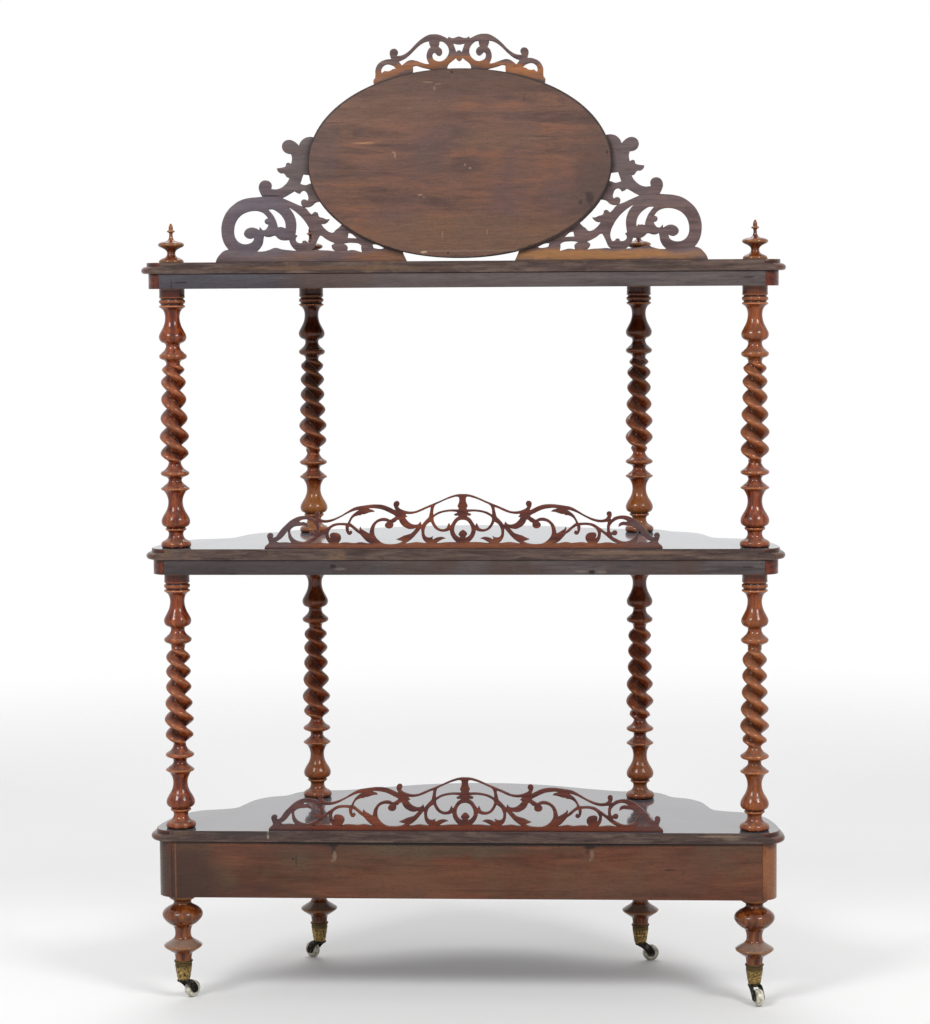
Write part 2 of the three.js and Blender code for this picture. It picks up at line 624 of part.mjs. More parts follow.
// Legs: turned, with a pin at the foot that sits in the castor's cup.
const leg = join(turned(legShares, legLength, legRadius),
  rod(legPinRadius, legPinLength + legLength / 2).translate(0, 0, -legPinLength));
const socket = rod(legPinRadius + seatGap, legPinLength + seatGap + cupLength)
  .translate(0, 0, cupLength - legPinLength - seatGap);
const pintleLength = cupLength - legPinLength - cupFloor - seatGap - runningGap;
const pintleHole = rod(pintleRadius + runningGap, 2 * (pintleLength + runningGap))
  .translate(0, 0, -pintleLength - runningGap);
const cup = cut(turned(cupShares, cupLength - seatGap, cupRadius), socket, pintleHole);

// A castor's fork: a crown and an upright pintle, and a cheek at each side of the wheel.
// The wheel trails along +X before the fork is turned.
const cheekInner = wheelWidth / 2 + runningGap;
const cheekOuter = cheekInner + cheekThickness;
const crownBottomZ = crownTopZ - crownThickness;
const hubRadius = axleRadius + 2 * cheekThickness;
const cheekOutline = [
  new THREE.Vector2(-crownRadius, crownTopZ),
  new THREE.Vector2(-crownRadius, crownBottomZ),
  new THREE.Vector2(wheelTrail - hubRadius, wheelCentreZ + hubRadius / 2),
  new THREE.Vector2(wheelTrail - hubRadius * Math.SQRT1_2, wheelCentreZ - hubRadius / 2),
  new THREE.Vector2(wheelTrail, wheelCentreZ - hubRadius * Math.SQRT1_2),
  new THREE.Vector2(wheelTrail + hubRadius * Math.SQRT1_2, wheelCentreZ - hubRadius / 2),
  new THREE.Vector2(wheelTrail + hubRadius * Math.SQRT1_2, wheelCentreZ + hubRadius / 2),
  new THREE.Vector2(wheelTrail - hubRadius / 2, crownBottomZ),
  new THREE.Vector2(wheelTrail - hubRadius, crownTopZ),
].reverse();
const axleAt = (radius, length, sides) =>
  rod(radius, length, sides).translate(0, 0, -length / 2).rotateX(Math.PI / 2)
    .translate(wheelTrail, 0, wheelCentreZ);
const fork = cut(
  join(
    rod(pintleRadius, pintleLength + seatGap + crownThickness)
      .translate(0, 0, crownBottomZ),
    block(-crownRadius, wheelTrail - hubRadius, -cheekOuter, cheekOuter, crownBottomZ,
      crownTopZ),
    panel(cheekOutline, cheekInner, cheekOuter),
    panel(cheekOutline, -cheekOuter, -cheekInner),
  ),
  axleAt(axleRadius + seatGap, 2 * cheekOuter + cheekThickness, wheelSides / 2),
);
const axle = axleAt(axleRadius, 2 * cheekOuter, wheelSides / 2);

// A wheel: a rounded tread and a bore for the axle.
const boreRadius = axleRadius + runningGap;
const tread = wheelShares.map(([inward, out]) =>
  new THREE.Vector2(out * wheelRadius, wheelWidth / 2 - inward * wheelWidth));
const wheel = new THREE.LatheGeometry([
  new THREE.Vector2(boreRadius, -wheelWidth / 2),
  ...tread.map((p) => new THREE.Vector2(p.x, -p.y)),
  ...tread.reverse(),
  new THREE.Vector2(boreRadius, wheelWidth / 2),
  new THREE.Vector2(boreRadius, -wheelWidth / 2),
], wheelSides);

for (const [place, [x, y]] of Object.entries(postPlaces)) {
  add(`leg_${place}`, leg, turnedWalnut).position.set(x, y, legBottomZ);
  add(`castor_cup_${place}`, cup, brass).position.set(x, y, cupBottomZ);
  const castor = new THREE.Group();
  castor.position.set(x, y, 0);
  castor.rotation.z = trailTurns[place] * 2 * Math.PI;
  add(`castor_fork_${place}`, fork, darkMetal, castor);
  add(`castor_axle_${place}`, axle, darkMetal, castor);
  add(`castor_wheel_${place}`, wheel, ceramic, castor)
    .position.set(wheelTrail, 0, wheelCentreZ);
  group.add(castor);
}

// The gallery on the top shelf. From the back: the oval backboard, the fret-cut boards
// that reach a little way in front of it, and the mirror's frame with its plate.
const ovalA = ovalWidthShare * (rearPost.x - finialRadius - galleryGap);
const ovalB = ovalHeight / 2;
const ovalZ = topDeckZ + ovalLift + ovalB;
function ovalPoint(turns, inward = 0) {
  const angle = 2 * Math.PI * turns;
  const bend = (value) => Math.sign(value) * Math.abs(value) ** (2 / ovalPower);
  return new THREE.Vector2((ovalA - inward) * bend(Math.cos(angle)),
    ovalZ + (ovalB - inward) * bend(Math.sin(angle)));
}
const ovalArc = (inward, from, to, steps) =>
  Array.from({ length: steps + 1 }, (_, i) =>
    ovalPoint(THREE.MathUtils.lerp(from, to, i / steps), inward));
const ovalLoop = (inward) => ovalArc(inward, 0, 1, ovalSteps).slice(0, -1);

const boardRearY = backY - backboardSetback - backboardThickness;
const boardFrontY = boardRearY - galleryBoardThickness;
const plateFrontY = boardRearY - plateThickness;
const frameFrontY = boardFrontY - frameDepth;
add('mirror_backboard', panel(ovalLoop(0), boardRearY, boardRearY + backboardThickness),
  rawWalnut);
add('mirror_plate', panel(ovalLoop(frameWidth - rebateWidth + seatGap), plateFrontY,
  boardRearY), silvered);

// The frame's section, closed: the inset from the oval's edge, and the depth.
const lipInset = frameWidth - rebateWidth;
const moulding = [
  [seatGap, boardFrontY],
  [spacerInset, boardFrontY],
  [spacerInset, boardRearY],
  [lipInset, boardRearY],
  [lipInset, plateFrontY],
  [frameWidth, plateFrontY],
  [frameWidth, frameFrontY + frameDepth / 2],
  [lipInset, frameFrontY + frameDepth / 4],
  [spacerInset, frameFrontY],
  [spacerInset / 2, frameFrontY + frameDepth / 4],
  [seatGap, boardFrontY - frameDepth / 3],
];
function hoop(section, steps) {
  const places = [];
  const index = [];
  const count = section.length;
  for (let i = 0; i < steps; i++) {
    for (const [inward, y] of section) {
      const p = ovalPoint(i / steps, inward);
      places.push(p.x, y, p.y);
    }
  }
  for (let i = 0; i < steps; i++) {
    for (let j = 0; j < count; j++) {
      const a = i * count + j;
      const b = i * count + ((j + 1) % count);
      const c = ((i + 1) % steps) * count + j;
      const d = ((i + 1) % steps) * count + ((j + 1) % count);
      index.push(a, d, c, a, b, d);
    }
  }
  const geometry = new THREE.BufferGeometry();
  geometry.setAttribute('position', new THREE.Float32BufferAttribute(places, 3));
  geometry.setIndex(index);
  geometry.computeVertexNormals();
  return geometry;
}
add('mirror_frame', hoop(moulding, ovalSteps), polishedWalnut);

// Crest and brackets, drawn for the side where x is positive.
const mirrored = (points) => points.map((p) => new THREE.Vector2(-p.x, p.y)).reverse();
const crestPoint = ([across, up]) => new THREE.Vector2(across * ovalA, ovalZ + up * ovalB);
const turnsAt = (across) => Math.acos(across ** (ovalPower / 2)) / (2 * Math.PI);
const crestEdge = crestEdgeShares.map(crestPoint);
const crestNotch = crestNotchShares.map(crestPoint);
const crestArch = crestArchShares.map(crestPoint);
const under = (fromShare, toShare) =>
  ovalArc(tongueReach, turnsAt(fromShare), turnsAt(toShare), crestArcSteps);
const crestHalf = [
  ...crestEdge,
  ...under(crestEdgeShares.at(-1)[0], crestNotchShares[0][0]),
  ...crestNotch,
  ...under(crestNotchShares.at(-1)[0], crestArchShares[0][0]),
  ...crestArch,
];
const crestOutline = [...crestHalf, ...mirrored(crestHalf).slice(1, -1)];
const crestEye = crestEyeShares.map(crestPoint);
const crestHoles = [[...crestEye, ...mirrored(crestEye).slice(1, -1)]];
for (const shares of crestHoleShares) {
  const hole = shares.map(crestPoint);
  crestHoles.push(hole, mirrored(hole));
}
add('crest_fretwork', panel(crestOutline, boardFrontY, boardRearY, crestHoles), fretWalnut);

const bracketPoint = ([across, up]) => new THREE.Vector2(across * ovalA, topDeckZ + up * ovalB);
const bracketArc = ovalArc(tongueReach, ...bracketArcTurns, bracketArcSteps);
const bracketOutline = [
  ...bracketEdgeShares.map(bracketPoint),
  ...bracketArc,
  ...bracketToeShares.map(bracketPoint),
];
const bracketHoles = bracketHoleShares.map((shares) => shares.map(bracketPoint));
add('bracket_right', panel(bracketOutline, boardFrontY, boardRearY, bracketHoles),
  fretWalnut);
add('bracket_left', panel(mirrored(bracketOutline), boardFrontY, boardRearY,
  bracketHoles.map(mirrored)), fretWalnut);

// Back frets of the middle and the bottom shelf.
function fret(z) {
  const place = ([across, up]) =>
    new THREE.Vector2((across * fretWidth) / 2, z + up * fretHeight);
  const half = fretEdgeShares.map(place);
  const outline = [...half, ...mirrored(half).slice(0, -1)];
  const eye = fretEyeShares.map(place);
  const holes = [[...eye, ...mirrored(eye).slice(1, -1)]];
  for (const shares of fretHoleShares) {
    const hole = shares.map(place);
    holes.push(hole, mirrored(hole));
  }
  const rear = backY - fretSetback;
  return panel(outline, rear - fretThickness, rear, holes);
}
add('fret_middle', fret(middleDeckZ), fretWalnut);
add('fret_bottom', fret(lowerDeckZ), fretWalnut);

// The stretch of a loop's front edge that lies within a half width.
function frontRun(loop, half) {
  const run = [];
  for (let i = 0; i < loop.length; i++) {
    const a = loop[i];
    const b = loop[(i + 1) % loop.length];
    if (a.y > 0 || b.y > 0) continue;
    for (const x of [-half, half]) {
      if ((a.x - x) * (b.x - x) < 0) run.push(a.clone().lerp(b, (x - a.x) / (b.x - a.x)));
    }
    if (Math.abs(b.x) < half) run.push(b.clone());
  }
  return run.sort((p, q) => p.x - q.x);
}

// The drawer: a bowed front that fills the frieze, and a box that rides on two runners.
const boardTopZ = baseBottomZ + baseBottomThickness;
const runnerTopZ = boardTopZ + runnerHeight;
const sideBottomZ = runnerTopZ + seatGap;
const sideTopZ = sideBottomZ + drawerSideHeight;
const boxOuter = drawerBoxWidth / 2;
const boxInner = boxOuter - drawerSideThickness;
const frontHalf = opening - drawerGap;
const frontOuter = frontRun(baseOuter, frontHalf);
const frontRearReach = baseSetback + drawerFrontThickness;
const frontRear = inset(plan, frontRearReach);
const frontInner = frontRun(frontRear, frontHalf);
const boxFrontY = frontRun(frontRear, boxOuter)[0].y + seatGap;
const boxBackY = baseBackFrontY - drawerBackGap;
const runnerMiddle = boxOuter - drawerSideThickness / 2;
const runnerFrontY = frontRun(frontRear, runnerMiddle + runnerWidth / 2)[0].y + seatGap;

const knobs = [-1, 1].map((sign) => {
  const near = frontOuter.findIndex((p) => p.x > (sign * knobSpacing) / 2);
  const [a, b] = [frontOuter[near - 1], frontOuter[near]];
  const at = a.clone().lerp(b, ((sign * knobSpacing) / 2 - a.x) / (b.x - a.x));
  return { sign, at, turn: Math.atan2(b.y - a.y, b.x - a.x) };
});
const knobZ = (baseBottomZ + baseTopZ) / 2;
const seatKnob = (geometry, knob, out) =>
  geometry.rotateX(Math.PI / 2).translate(0, -out, 0).rotateZ(knob.turn)
    .translate(knob.at.x, knob.at.y, knobZ);
const drawerFront = slab([...frontOuter, ...[...frontInner].reverse()],
  baseBottomZ + drawerGap, baseTopZ - drawerGap);
const knobHoles = knobs.map((knob) => seatKnob(
  rod(knobSpigotRadius + seatGap, knobSpigotLength + seatGap + knobLength)
    .translate(0, 0, -knobSpigotLength - seatGap), knob, 0));
add('drawer_front', cut(drawerFront, ...knobHoles), polishedWalnut);
for (const knob of knobs) {
  const shape = join(
    turned(knobShares, knobLength, knobRadius),
    rod(knobSpigotRadius, knobSpigotLength + knobLength / 2)
      .translate(0, 0, -knobSpigotLength));
  add(`drawer_knob_${knob.sign < 0 ? 'left' : 'right'}`, seatKnob(shape, knob, seatGap),
    turnedWalnut);
}
for (const [name, sign] of [['left', -1], ['right', 1]]) {
  const [inner, outer] = [sign * boxInner, sign * boxOuter].sort((a, b) => a - b);
  add(`drawer_side_${name}`, block(inner, outer, boxFrontY, boxBackY, sideBottomZ, sideTopZ),
    drawerWood);
  const middle = sign * runnerMiddle;
  add(`drawer_runner_${name}`, block(middle - runnerWidth / 2, middle + runnerWidth / 2,
    runnerFrontY, baseBackFrontY, boardTopZ, runnerTopZ), drawerWood);
}
const floorHalf = boxInner - seatGap;
const floorZ = sideBottomZ + drawerBottomLift;
const floorFront = frontRun(inset(plan, frontRearReach + seatGap), floorHalf);
const backBoardY = boxBackY - drawerSideThickness;
add('drawer_bottom', slab([...floorFront, new THREE.Vector2(floorHalf, boxBackY),
  new THREE.Vector2(-floorHalf, boxBackY)], floorZ, floorZ + drawerBottomThickness),
drawerWood);
add('drawer_back', block(-floorHalf, floorHalf, backBoardY, boxBackY,
  floorZ + drawerBottomThickness, sideTopZ - drawerBackDrop), drawerWood);

export default group;
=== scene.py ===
# %% [markdown]
# # A three-tier walnut whatnot, seen from behind
# A whatnot is a tall stand of open shelves for ornaments. This one is Victorian, about
# 1.45 m high, in walnut: three shelves with a moulded edge, eight posts turned and then
# carved with a double twist, fret-cut galleries, and an oval mirror on the top shelf. The
# photograph was taken from behind, so the lesson looks at the plain backs first.
#
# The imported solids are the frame: they say where each piece is. They could be dressed
# with materials alone, but they are coarse, so most of them are replaced by finer pieces
# of the same size, in the same place. Lengths below are in millimetres, unless a comment
# says otherwise.

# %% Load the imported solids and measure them
import math
import bmesh
import bpy
from mathutils import Matrix, Vector


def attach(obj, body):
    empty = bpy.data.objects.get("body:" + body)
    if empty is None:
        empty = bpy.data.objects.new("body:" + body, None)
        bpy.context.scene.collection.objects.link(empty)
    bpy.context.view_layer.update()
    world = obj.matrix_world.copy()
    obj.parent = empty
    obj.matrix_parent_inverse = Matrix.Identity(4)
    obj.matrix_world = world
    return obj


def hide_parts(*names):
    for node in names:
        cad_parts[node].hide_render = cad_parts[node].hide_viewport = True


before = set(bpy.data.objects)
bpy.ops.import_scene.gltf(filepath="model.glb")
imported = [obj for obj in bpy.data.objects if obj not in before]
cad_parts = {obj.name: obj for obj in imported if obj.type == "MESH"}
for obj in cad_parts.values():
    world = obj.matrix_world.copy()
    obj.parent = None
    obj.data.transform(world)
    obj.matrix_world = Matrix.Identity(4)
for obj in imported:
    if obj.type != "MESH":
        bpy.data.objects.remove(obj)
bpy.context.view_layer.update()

MM = 0.001

# %% [markdown]
# ## The camera
# The camera stands behind the whatnot at the height of the top shelf, 3.9 m from its back
# and a little to one side, and looks down by five degrees. It could be placed by eye, but
# here its place was worked out from the heights and widths at which the turned rings of
# the posts appear in the photograph. It comes first, because every later choice of detail
# depends on how large a thing shows: a millimetre is two thirds of a pixel.

# %% Camera at the photograph's place
CAMERA_PLACE = Vector((-318.7, 4133.6, 1084.2))
HEADING, LOOKS_DOWN, ROLL = 182.953, 4.867, -0.336  # degrees
LENS, SHIFT = 93.52, -0.0732  # for a sensor of 36 mm, and as a share of the longer side
view_turn = (Matrix.Rotation(math.radians(HEADING), 4, "Z")
             @ Matrix.Rotation(math.radians(90 - LOOKS_DOWN), 4, "X")
             @ Matrix.Rotation(math.radians(ROLL), 4, "Z"))
bpy.ops.object.camera_add(location=CAMERA_PLACE * MM, rotation=view_turn.to_euler())
camera = bpy.context.object
camera.name = "camera"
camera.data.lens, camera.data.shift_x = LENS, SHIFT
bpy.context.scene.camera = camera
print("camera looks along", view_turn.to_3x3() @ Vector((0, 0, -1)))

# %% [markdown]
# ## Drawing lines and selecting parts
# Nearly every piece starts as a line: the plan of a shelf, the profile of a turned leg,
# the section of a frame. A circle primitive with one point for each point of the line
# gives that line, once each point is put in its place. From there the usual edit mode
# tools take over: extrude, inset, spin, bridge, bisect and bevel. Measured points
# are few, so a smooth curve is passed through them first.

# %% A smooth line through measured points
def smooth(points, step, closed=False):
    """Points at most a step apart on a curve through the measured points.

    Each stretch runs from b to c, and its slopes there follow from a before and d after.
    """
    points = [Vector(p) for p in points]
    count = len(points)
    line = []
    for i in range(count if closed else count - 1):
        if closed:
            a, b, c, d = (points[(i + k - 1) % count] for k in range(4))
        else:
            b, c = points[i], points[i + 1]
            a = points[i - 1] if i else 2 * b - c
            d = points[i + 2] if i + 2 < count else 2 * c - b
        gaps = [max((q - p).length, 1e-6) ** 0.5 for p, q in ((a, b), (b, c), (c, d))]
        slope_b = (b - a) / gaps[0] - (c - a) / (gaps[0] + gaps[1]) + (c - b) / gaps[1]
        slope_c = (c - b) / gaps[1] - (d - b) / (gaps[1] + gaps[2]) + (d - c) / gaps[2]
        slope_b *= gaps[1]
        slope_c *= gaps[1]
        steps = max(1, math.ceil((c - b).length / step))
        for k in range(steps):
            t = k / steps
            line.append((2 * t**3 - 3 * t**2 + 1) * b + (t**3 - 2 * t**2 + t) * slope_b
                        + (3 * t**2 - 2 * t**3) * c + (t**3 - t**2) * slope_c)
    if not closed:
        line.append(points[-1])
    return line


# %% Draw a line, and select what lies in a place
def only(obj):
    bpy.ops.object.select_all(action="DESELECT")
    obj.select_set(True)
    bpy.context.view_layer.objects.active = obj


def draw(name, points, closed=True, face=False):
    """A line through points: a circle primitive with as many points, put in their places."""
    bpy.ops.object.select_all(action="DESELECT")
    bpy.ops.mesh.primitive_circle_add(vertices=len(points), fill_type="NGON" if face else "NOTHING")
    obj = bpy.context.object
    obj.name = obj.data.name = name
    for vertex, place in zip(obj.data.vertices, points):
        vertex.co = Vector(place) * MM
    if not closed:
        pick(obj, lambda edge: {v.index for v in edge.verts} == {0, len(points) - 1}, "EDGE")
        bpy.ops.mesh.delete(type="EDGE")
        bpy.ops.object.mode_set(mode="OBJECT")
    return obj


def pick(obj, rule, kind="FACE"):
    """Goes into edit mode and selects the faces, edges or points that pass the rule."""
    only(obj)
    bpy.ops.object.mode_set(mode="EDIT")
    bpy.ops.mesh.select_mode(type=kind)
    bpy.ops.mesh.select_all(action="DESELECT")
    mesh = bmesh.from_edit_mesh(obj.data)
    parts = {"FACE": mesh.faces, "EDGE": mesh.edges, "VERT": mesh.verts}[kind]
    for part in parts:
        part.select_set(bool(rule(part)))
    mesh.select_flush_mode()
    bmesh.update_edit_mesh(obj.data)


def everything(part):
    return True


def close_up(obj, gap=0.01):
    """Merges points that meet, and turns every face outwards."""
    pick(obj, everything, "VERT")
    bpy.ops.mesh.remove_doubles(threshold=gap * MM)
    bpy.ops.mesh.normals_make_consistent(inside=False)
    bpy.ops.object.mode_set(mode="OBJECT")
    return obj


# %% Modifiers, copies and cuts
def modify(obj, kind, **settings):
    """Adds a modifier with its settings and applies it."""
    only(obj)
    step = obj.modifiers.new(kind.lower(), kind)
    for name, value in settings.items():
        setattr(step, name, value)
    bpy.ops.object.modifier_apply(modifier=step.name)
    return obj


def soften(obj, width, segments=2):
    """Rounds the edges that turn by more than 35 degrees."""
    return modify(obj, "BEVEL", width=width * MM, segments=segments,
                  limit_method="ANGLE", angle_limit=math.radians(35), use_clamp_overlap=True)


def combine(obj, tool, operation):
    """Joins a tool to a piece or cuts it away, and uses the tool up."""
    modify(obj, "BOOLEAN", operation=operation, object=tool, solver="EXACT")
    bpy.data.objects.remove(tool)


def saw(obj, place, normal):
    """Cuts off what lies beyond a plane and closes the cut."""
    pick(obj, everything)
    bpy.ops.mesh.bisect(plane_co=Vector(place) * MM, plane_no=normal, use_fill=True,
                        clear_outer=True, threshold=1e-7)
    bpy.ops.object.mode_set(mode="OBJECT")


def copy_of(source, name, place=(0, 0, 0), turn=0, mirror=False):
    """A copy with its own mesh, put in its place."""
    obj = source.copy()
    obj.data = source.data.copy()
    obj.name = obj.data.name = name
    bpy.context.scene.collection.objects.link(obj)
    obj.data.transform(Matrix.Translation(Vector(place) * MM) @ Matrix.Rotation(turn, 4, "Z"))
    if mirror:
        obj.data.transform(Matrix.Scale(-1, 4, (1, 0, 0)))
        close_up(obj, 0)
    return obj


def dress(obj, body, slot, material, *nodes, angle=32):
    """Shades a finished piece, and puts it in place of the solids that it stands for."""
    only(obj)
    bpy.ops.object.shade_smooth_by_angle(angle=math.radians(angle))
    if material:
        obj.data.materials.clear()
        obj.data.materials.append(material)
    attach(obj, body)
    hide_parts(*nodes)
    print(obj.name, "faces:", len(obj.data.polygons))


# %% [markdown]
# ## Finishes
# Nearly all the wood here is walnut, but it doesn't look alike. The shelves, posts and fronts
# were French polished: many thin coats of shellac, rubbed to a shine, through which the
# grain glows red-brown. The backs were only planed and have gone grey and dull. So one
# function makes walnut, and is given the tones, the shine and the direction of the grain.
# A photograph of a board could be used instead, but its grain would stretch over a turned
# post, while a pattern worked out in space cuts through the piece as real grain does.

# %% Colours and nodes
def tone(code):
    """A colour given as sRGB hex, in linear light."""
    parts = [int(code[i:i + 2], 16) / 255 for i in (1, 3, 5)]
    return (*(v / 12.92 if v <= 0.04045 else ((v + 0.055) / 1.055) ** 2.4 for v in parts), 1)


def node(tree, kind, inputs, **settings):
    """Adds a node, gives it its settings, and fills its inputs with values or links."""
    new = tree.nodes.new("ShaderNode" + kind)
    for name, value in settings.items():
        setattr(new, name, value)
    for name, value in inputs.items():
        if isinstance(value, bpy.types.NodeSocket):
            tree.links.new(value, new.inputs[name])
        else:
            new.inputs[name].default_value = value
    return new


def finish_of(name, **constants):
    """A new material, with the numbers that are the same all over it set on its shader."""
    material = bpy.data.materials.new(name)
    material.use_nodes = True
    shader = material.node_tree.nodes["Principled BSDF"]
    for socket, value in constants.items():
        shader.inputs[socket.replace("_", " ")].default_value = value
    return material, material.node_tree, shader


# %% Marks at a place: zones, nails, holes, scuffs
FADED, FULL = 1.25, 0.65  # how far out a mark ends and how far it is full, by its own size


def add_marks(tree, place, colour, marks, ragged=1.2, lump=3):
    """Paints ovals at (x, z) with half a width and half a height in mm over a colour.

    A seventh value makes a mark a line along the oval, as broad as that share of it. The
    outline strays by the ragged width, in lumps of a size.
    """
    noise = node(tree, "TexNoise", {"Vector": place, "Scale": 1 / (lump * MM), "Detail": 2.0})
    shift = node(tree, "VectorMath", {0: noise.outputs["Color"], 1: (0.5, 0.5, 0.5)},
                 operation="SUBTRACT")
    stray = node(tree, "VectorMath", {0: shift.outputs[0], 1: (2 * ragged * MM,) * 3, 2: place},
                 operation="MULTIPLY_ADD")
    for x, z, half_width, half_height, code, strength, *breadth in marks:
        size = Vector((1 / (half_width * MM), 0, 1 / (half_height * MM)))
        away = node(tree, "VectorMath", {0: stray.outputs[0], 1: size,
                                         2: (-x / half_width, 0, -z / half_height)},
                    operation="MULTIPLY_ADD")
        length = node(tree, "VectorMath", {0: away.outputs[0]}, operation="LENGTH").outputs["Value"]
        if breadth:
            length = node(tree, "Math", {0: length, 1: 1.0}, operation="SUBTRACT").outputs[0]
            length = node(tree, "Math", {0: length}, operation="ABSOLUTE").outputs[0]
            length = node(tree, "Math", {0: length, 1: breadth[0]}, operation="DIVIDE").outputs[0]
        share = node(tree, "MapRange", {"Value": length, "From Min": FADED, "From Max": FULL,
                                        "To Max": strength})
        colour = node(tree, "Mix", {0: share.outputs[0], 6: colour, 7: tone(code)},
                      data_type="RGBA").outputs[2]
    return colour


# %% Grain that follows a bent board
BEND_Y, BEND_RADIUS = 210, 430  # a circle close to the front of a shelf's plan


def follow_bend(tree, place):
    """The place in bent wood: how far round the front, how far out, and how high."""
    spot = node(tree, "SeparateXYZ", {0: place}).outputs
    ahead = node(tree, "Math", {0: spot["Y"], 1: BEND_Y * MM}, operation="SUBTRACT").outputs[0]
    turn = node(tree, "Math", {0: ahead, 1: spot["X"]}, operation="ARCTAN2").outputs[0]
    along = node(tree, "Math", {0: turn, 1: BEND_RADIUS * MM}, operation="MULTIPLY").outputs[0]
    level = node(tree, "CombineXYZ", {0: spot["X"], 1: ahead}).outputs[0]
    out = node(tree, "VectorMath", {0: level}, operation="LENGTH").outputs["Value"]
    return node(tree, "CombineXYZ", {0: along, 1: out, 2: spot["Z"]}).outputs[0]


# %% Figure, streaks and pores
# Walnut's pores are 0.2 mm wide, too fine to show in the render, so they are drawn as
# coarse as they need to show. The streaks are 4.5 times as fine as the broad figure.
PORE_WIDTH = 0.9


def grain_of(tree, lie, along, figure, length):
    """Broad figure, streaks and pores, all of them so many times longer than wide."""
    stretch = Vector((1, 1, 1))
    stretch["XYZ".index(along)] = 1 / length
    wide = node(tree, "Mapping", {"Vector": lie, "Scale": stretch / (figure * MM)}).outputs[0]
    fine = node(tree, "Mapping", {"Vector": lie, "Scale": stretch / (PORE_WIDTH * MM)}).outputs[0]
    patterns = (node(tree, "TexNoise", {"Vector": wide, "Scale": 1.0, "Detail": 6.0,
                                        "Roughness": 0.6, "Distortion": 0.7}),
                node(tree, "TexNoise", {"Vector": wide, "Scale": 4.5, "Detail": 4.0,
                                        "Roughness": 0.65}),
                node(tree, "TexNoise", {"Vector": fine, "Scale": 1.0, "Detail": 1.0}))
    return [pattern.outputs["Fac"] for pattern in patterns]


def figured(tree, broad, dark, middle, light):
    """The figure's colour, from dark through middle to light."""
    colour = tone(dark)
    for code, start, end in ((middle, 0.36, 0.5), (light, 0.5, 0.66)):
        reach = node(tree, "MapRange", {"Value": broad, "From Min": start, "From Max": end})
        colour = node(tree, "Mix", {0: reach.outputs[0], 6: colour, 7: tone(code)},
                      data_type="RGBA").outputs[2]
    return colour


def streaked(tree, colour, streak, pore, contrast, pits):
    """Streaks lighten and darken the colour, and pores darken it down to a share."""
    shade = node(tree, "MapRange", {"Value": streak, "From Min": 0.3, "From Max": 0.7,
                                    "To Min": 1 - 0.3 * contrast, "To Max": 1 + 0.25 * contrast})
    pitted = node(tree, "MapRange", {"Value": pore, "From Min": 0.6, "From Max": 0.7,
                                     "To Min": 1.0, "To Max": pits})
    for share in (shade, pitted):
        colour = node(tree, "Mix", {0: 1.0, 6: colour, 7: share.outputs[0]}, data_type="RGBA",
                      blend_type="MULTIPLY").outputs[2]
    return colour


# %% Patches, wear and painted highlight, dust and painted sheen, grime and painted shade
# The grey of dust, which also paints a sheen on what faces up.
DUST_AND_SHEEN = "#9b8c80"


def patched(tree, colour, place, code, size, start, end):
    """Another tone in clouds of a size, where their noise runs from start to end."""
    cloud = node(tree, "TexNoise", {"Vector": place, "Scale": 1 / (size * MM), "Detail": 4.0,
                                    "Roughness": 0.6}).outputs["Fac"]
    reach = node(tree, "MapRange", {"Value": cloud, "From Min": start, "From Max": end})
    return node(tree, "Mix", {0: reach.outputs[0], 6: colour, 7: tone(code)},
                data_type="RGBA").outputs[2]


def rubbed_lit_and_shaded(tree, colour, worn_and_lit, grime_and_shade):
    """Rings and ridges painted lighter, as wear and a painted highlight, and hollows painted
    darker, as old wax and painted shade.
    """
    edge = node(tree, "NewGeometry", {}).outputs["Pointiness"]
    for code, start, end in ((worn_and_lit, 0.512, 0.565), (grime_and_shade, 0.495, 0.43)):
        reach = node(tree, "MapRange", {"Value": edge, "From Min": start, "From Max": end})
        colour = node(tree, "Mix", {0: reach.outputs[0], 6: colour, 7: tone(code)},
                      data_type="RGBA").outputs[2]
    return colour


def dusted_and_sheened(tree, colour, place, pore, most, below):
    """Dust and a painted sheen on what faces up, thinner here and there, and only below a height if
    one is given.
    """
    facing = node(tree, "SeparateXYZ", {0: node(tree, "TexCoord", {}).outputs["Normal"]})
    lying = node(tree, "MapRange", {"Value": facing.outputs["Z"], "From Min": 0.45,
                                    "From Max": 0.85, "To Max": most}).outputs[0]
    thinned = node(tree, "MapRange", {"Value": pore, "From Min": 0.3, "From Max": 0.6,
                                      "To Min": 1.0, "To Max": 0.55}).outputs[0]
    lying = node(tree, "Math", {0: lying, 1: thinned}, operation="MULTIPLY").outputs[0]
    if below:
        height = node(tree, "SeparateXYZ", {0: place}).outputs["Z"]
        low = node(tree, "Math", {0: height, 1: below * MM}, operation="LESS_THAN").outputs[0]
        lying = node(tree, "Math", {0: lying, 1: low}, operation="MULTIPLY").outputs[0]
    return node(tree, "Mix", {0: lying, 6: colour, 7: tone(DUST_AND_SHEEN)}, data_type="RGBA").outputs[2]


def grimed_and_shaded(tree, colour, code, reach, most):
    """Dirt and painted shade: darker where other wood within reach hides a point from the air."""
    air = node(tree, "AmbientOcclusion", {"Distance": reach * MM}, samples=8).outputs["AO"]
    dirty_and_shaded = node(tree, "MapRange", {"Value": air, "From Min": 0.75, "From Max": 0.25,
                                    "To Max": most}).outputs[0]
    return node(tree, "Mix", {0: dirty_and_shaded, 6: colour, 7: tone(code)}, data_type="RGBA").outputs[2]


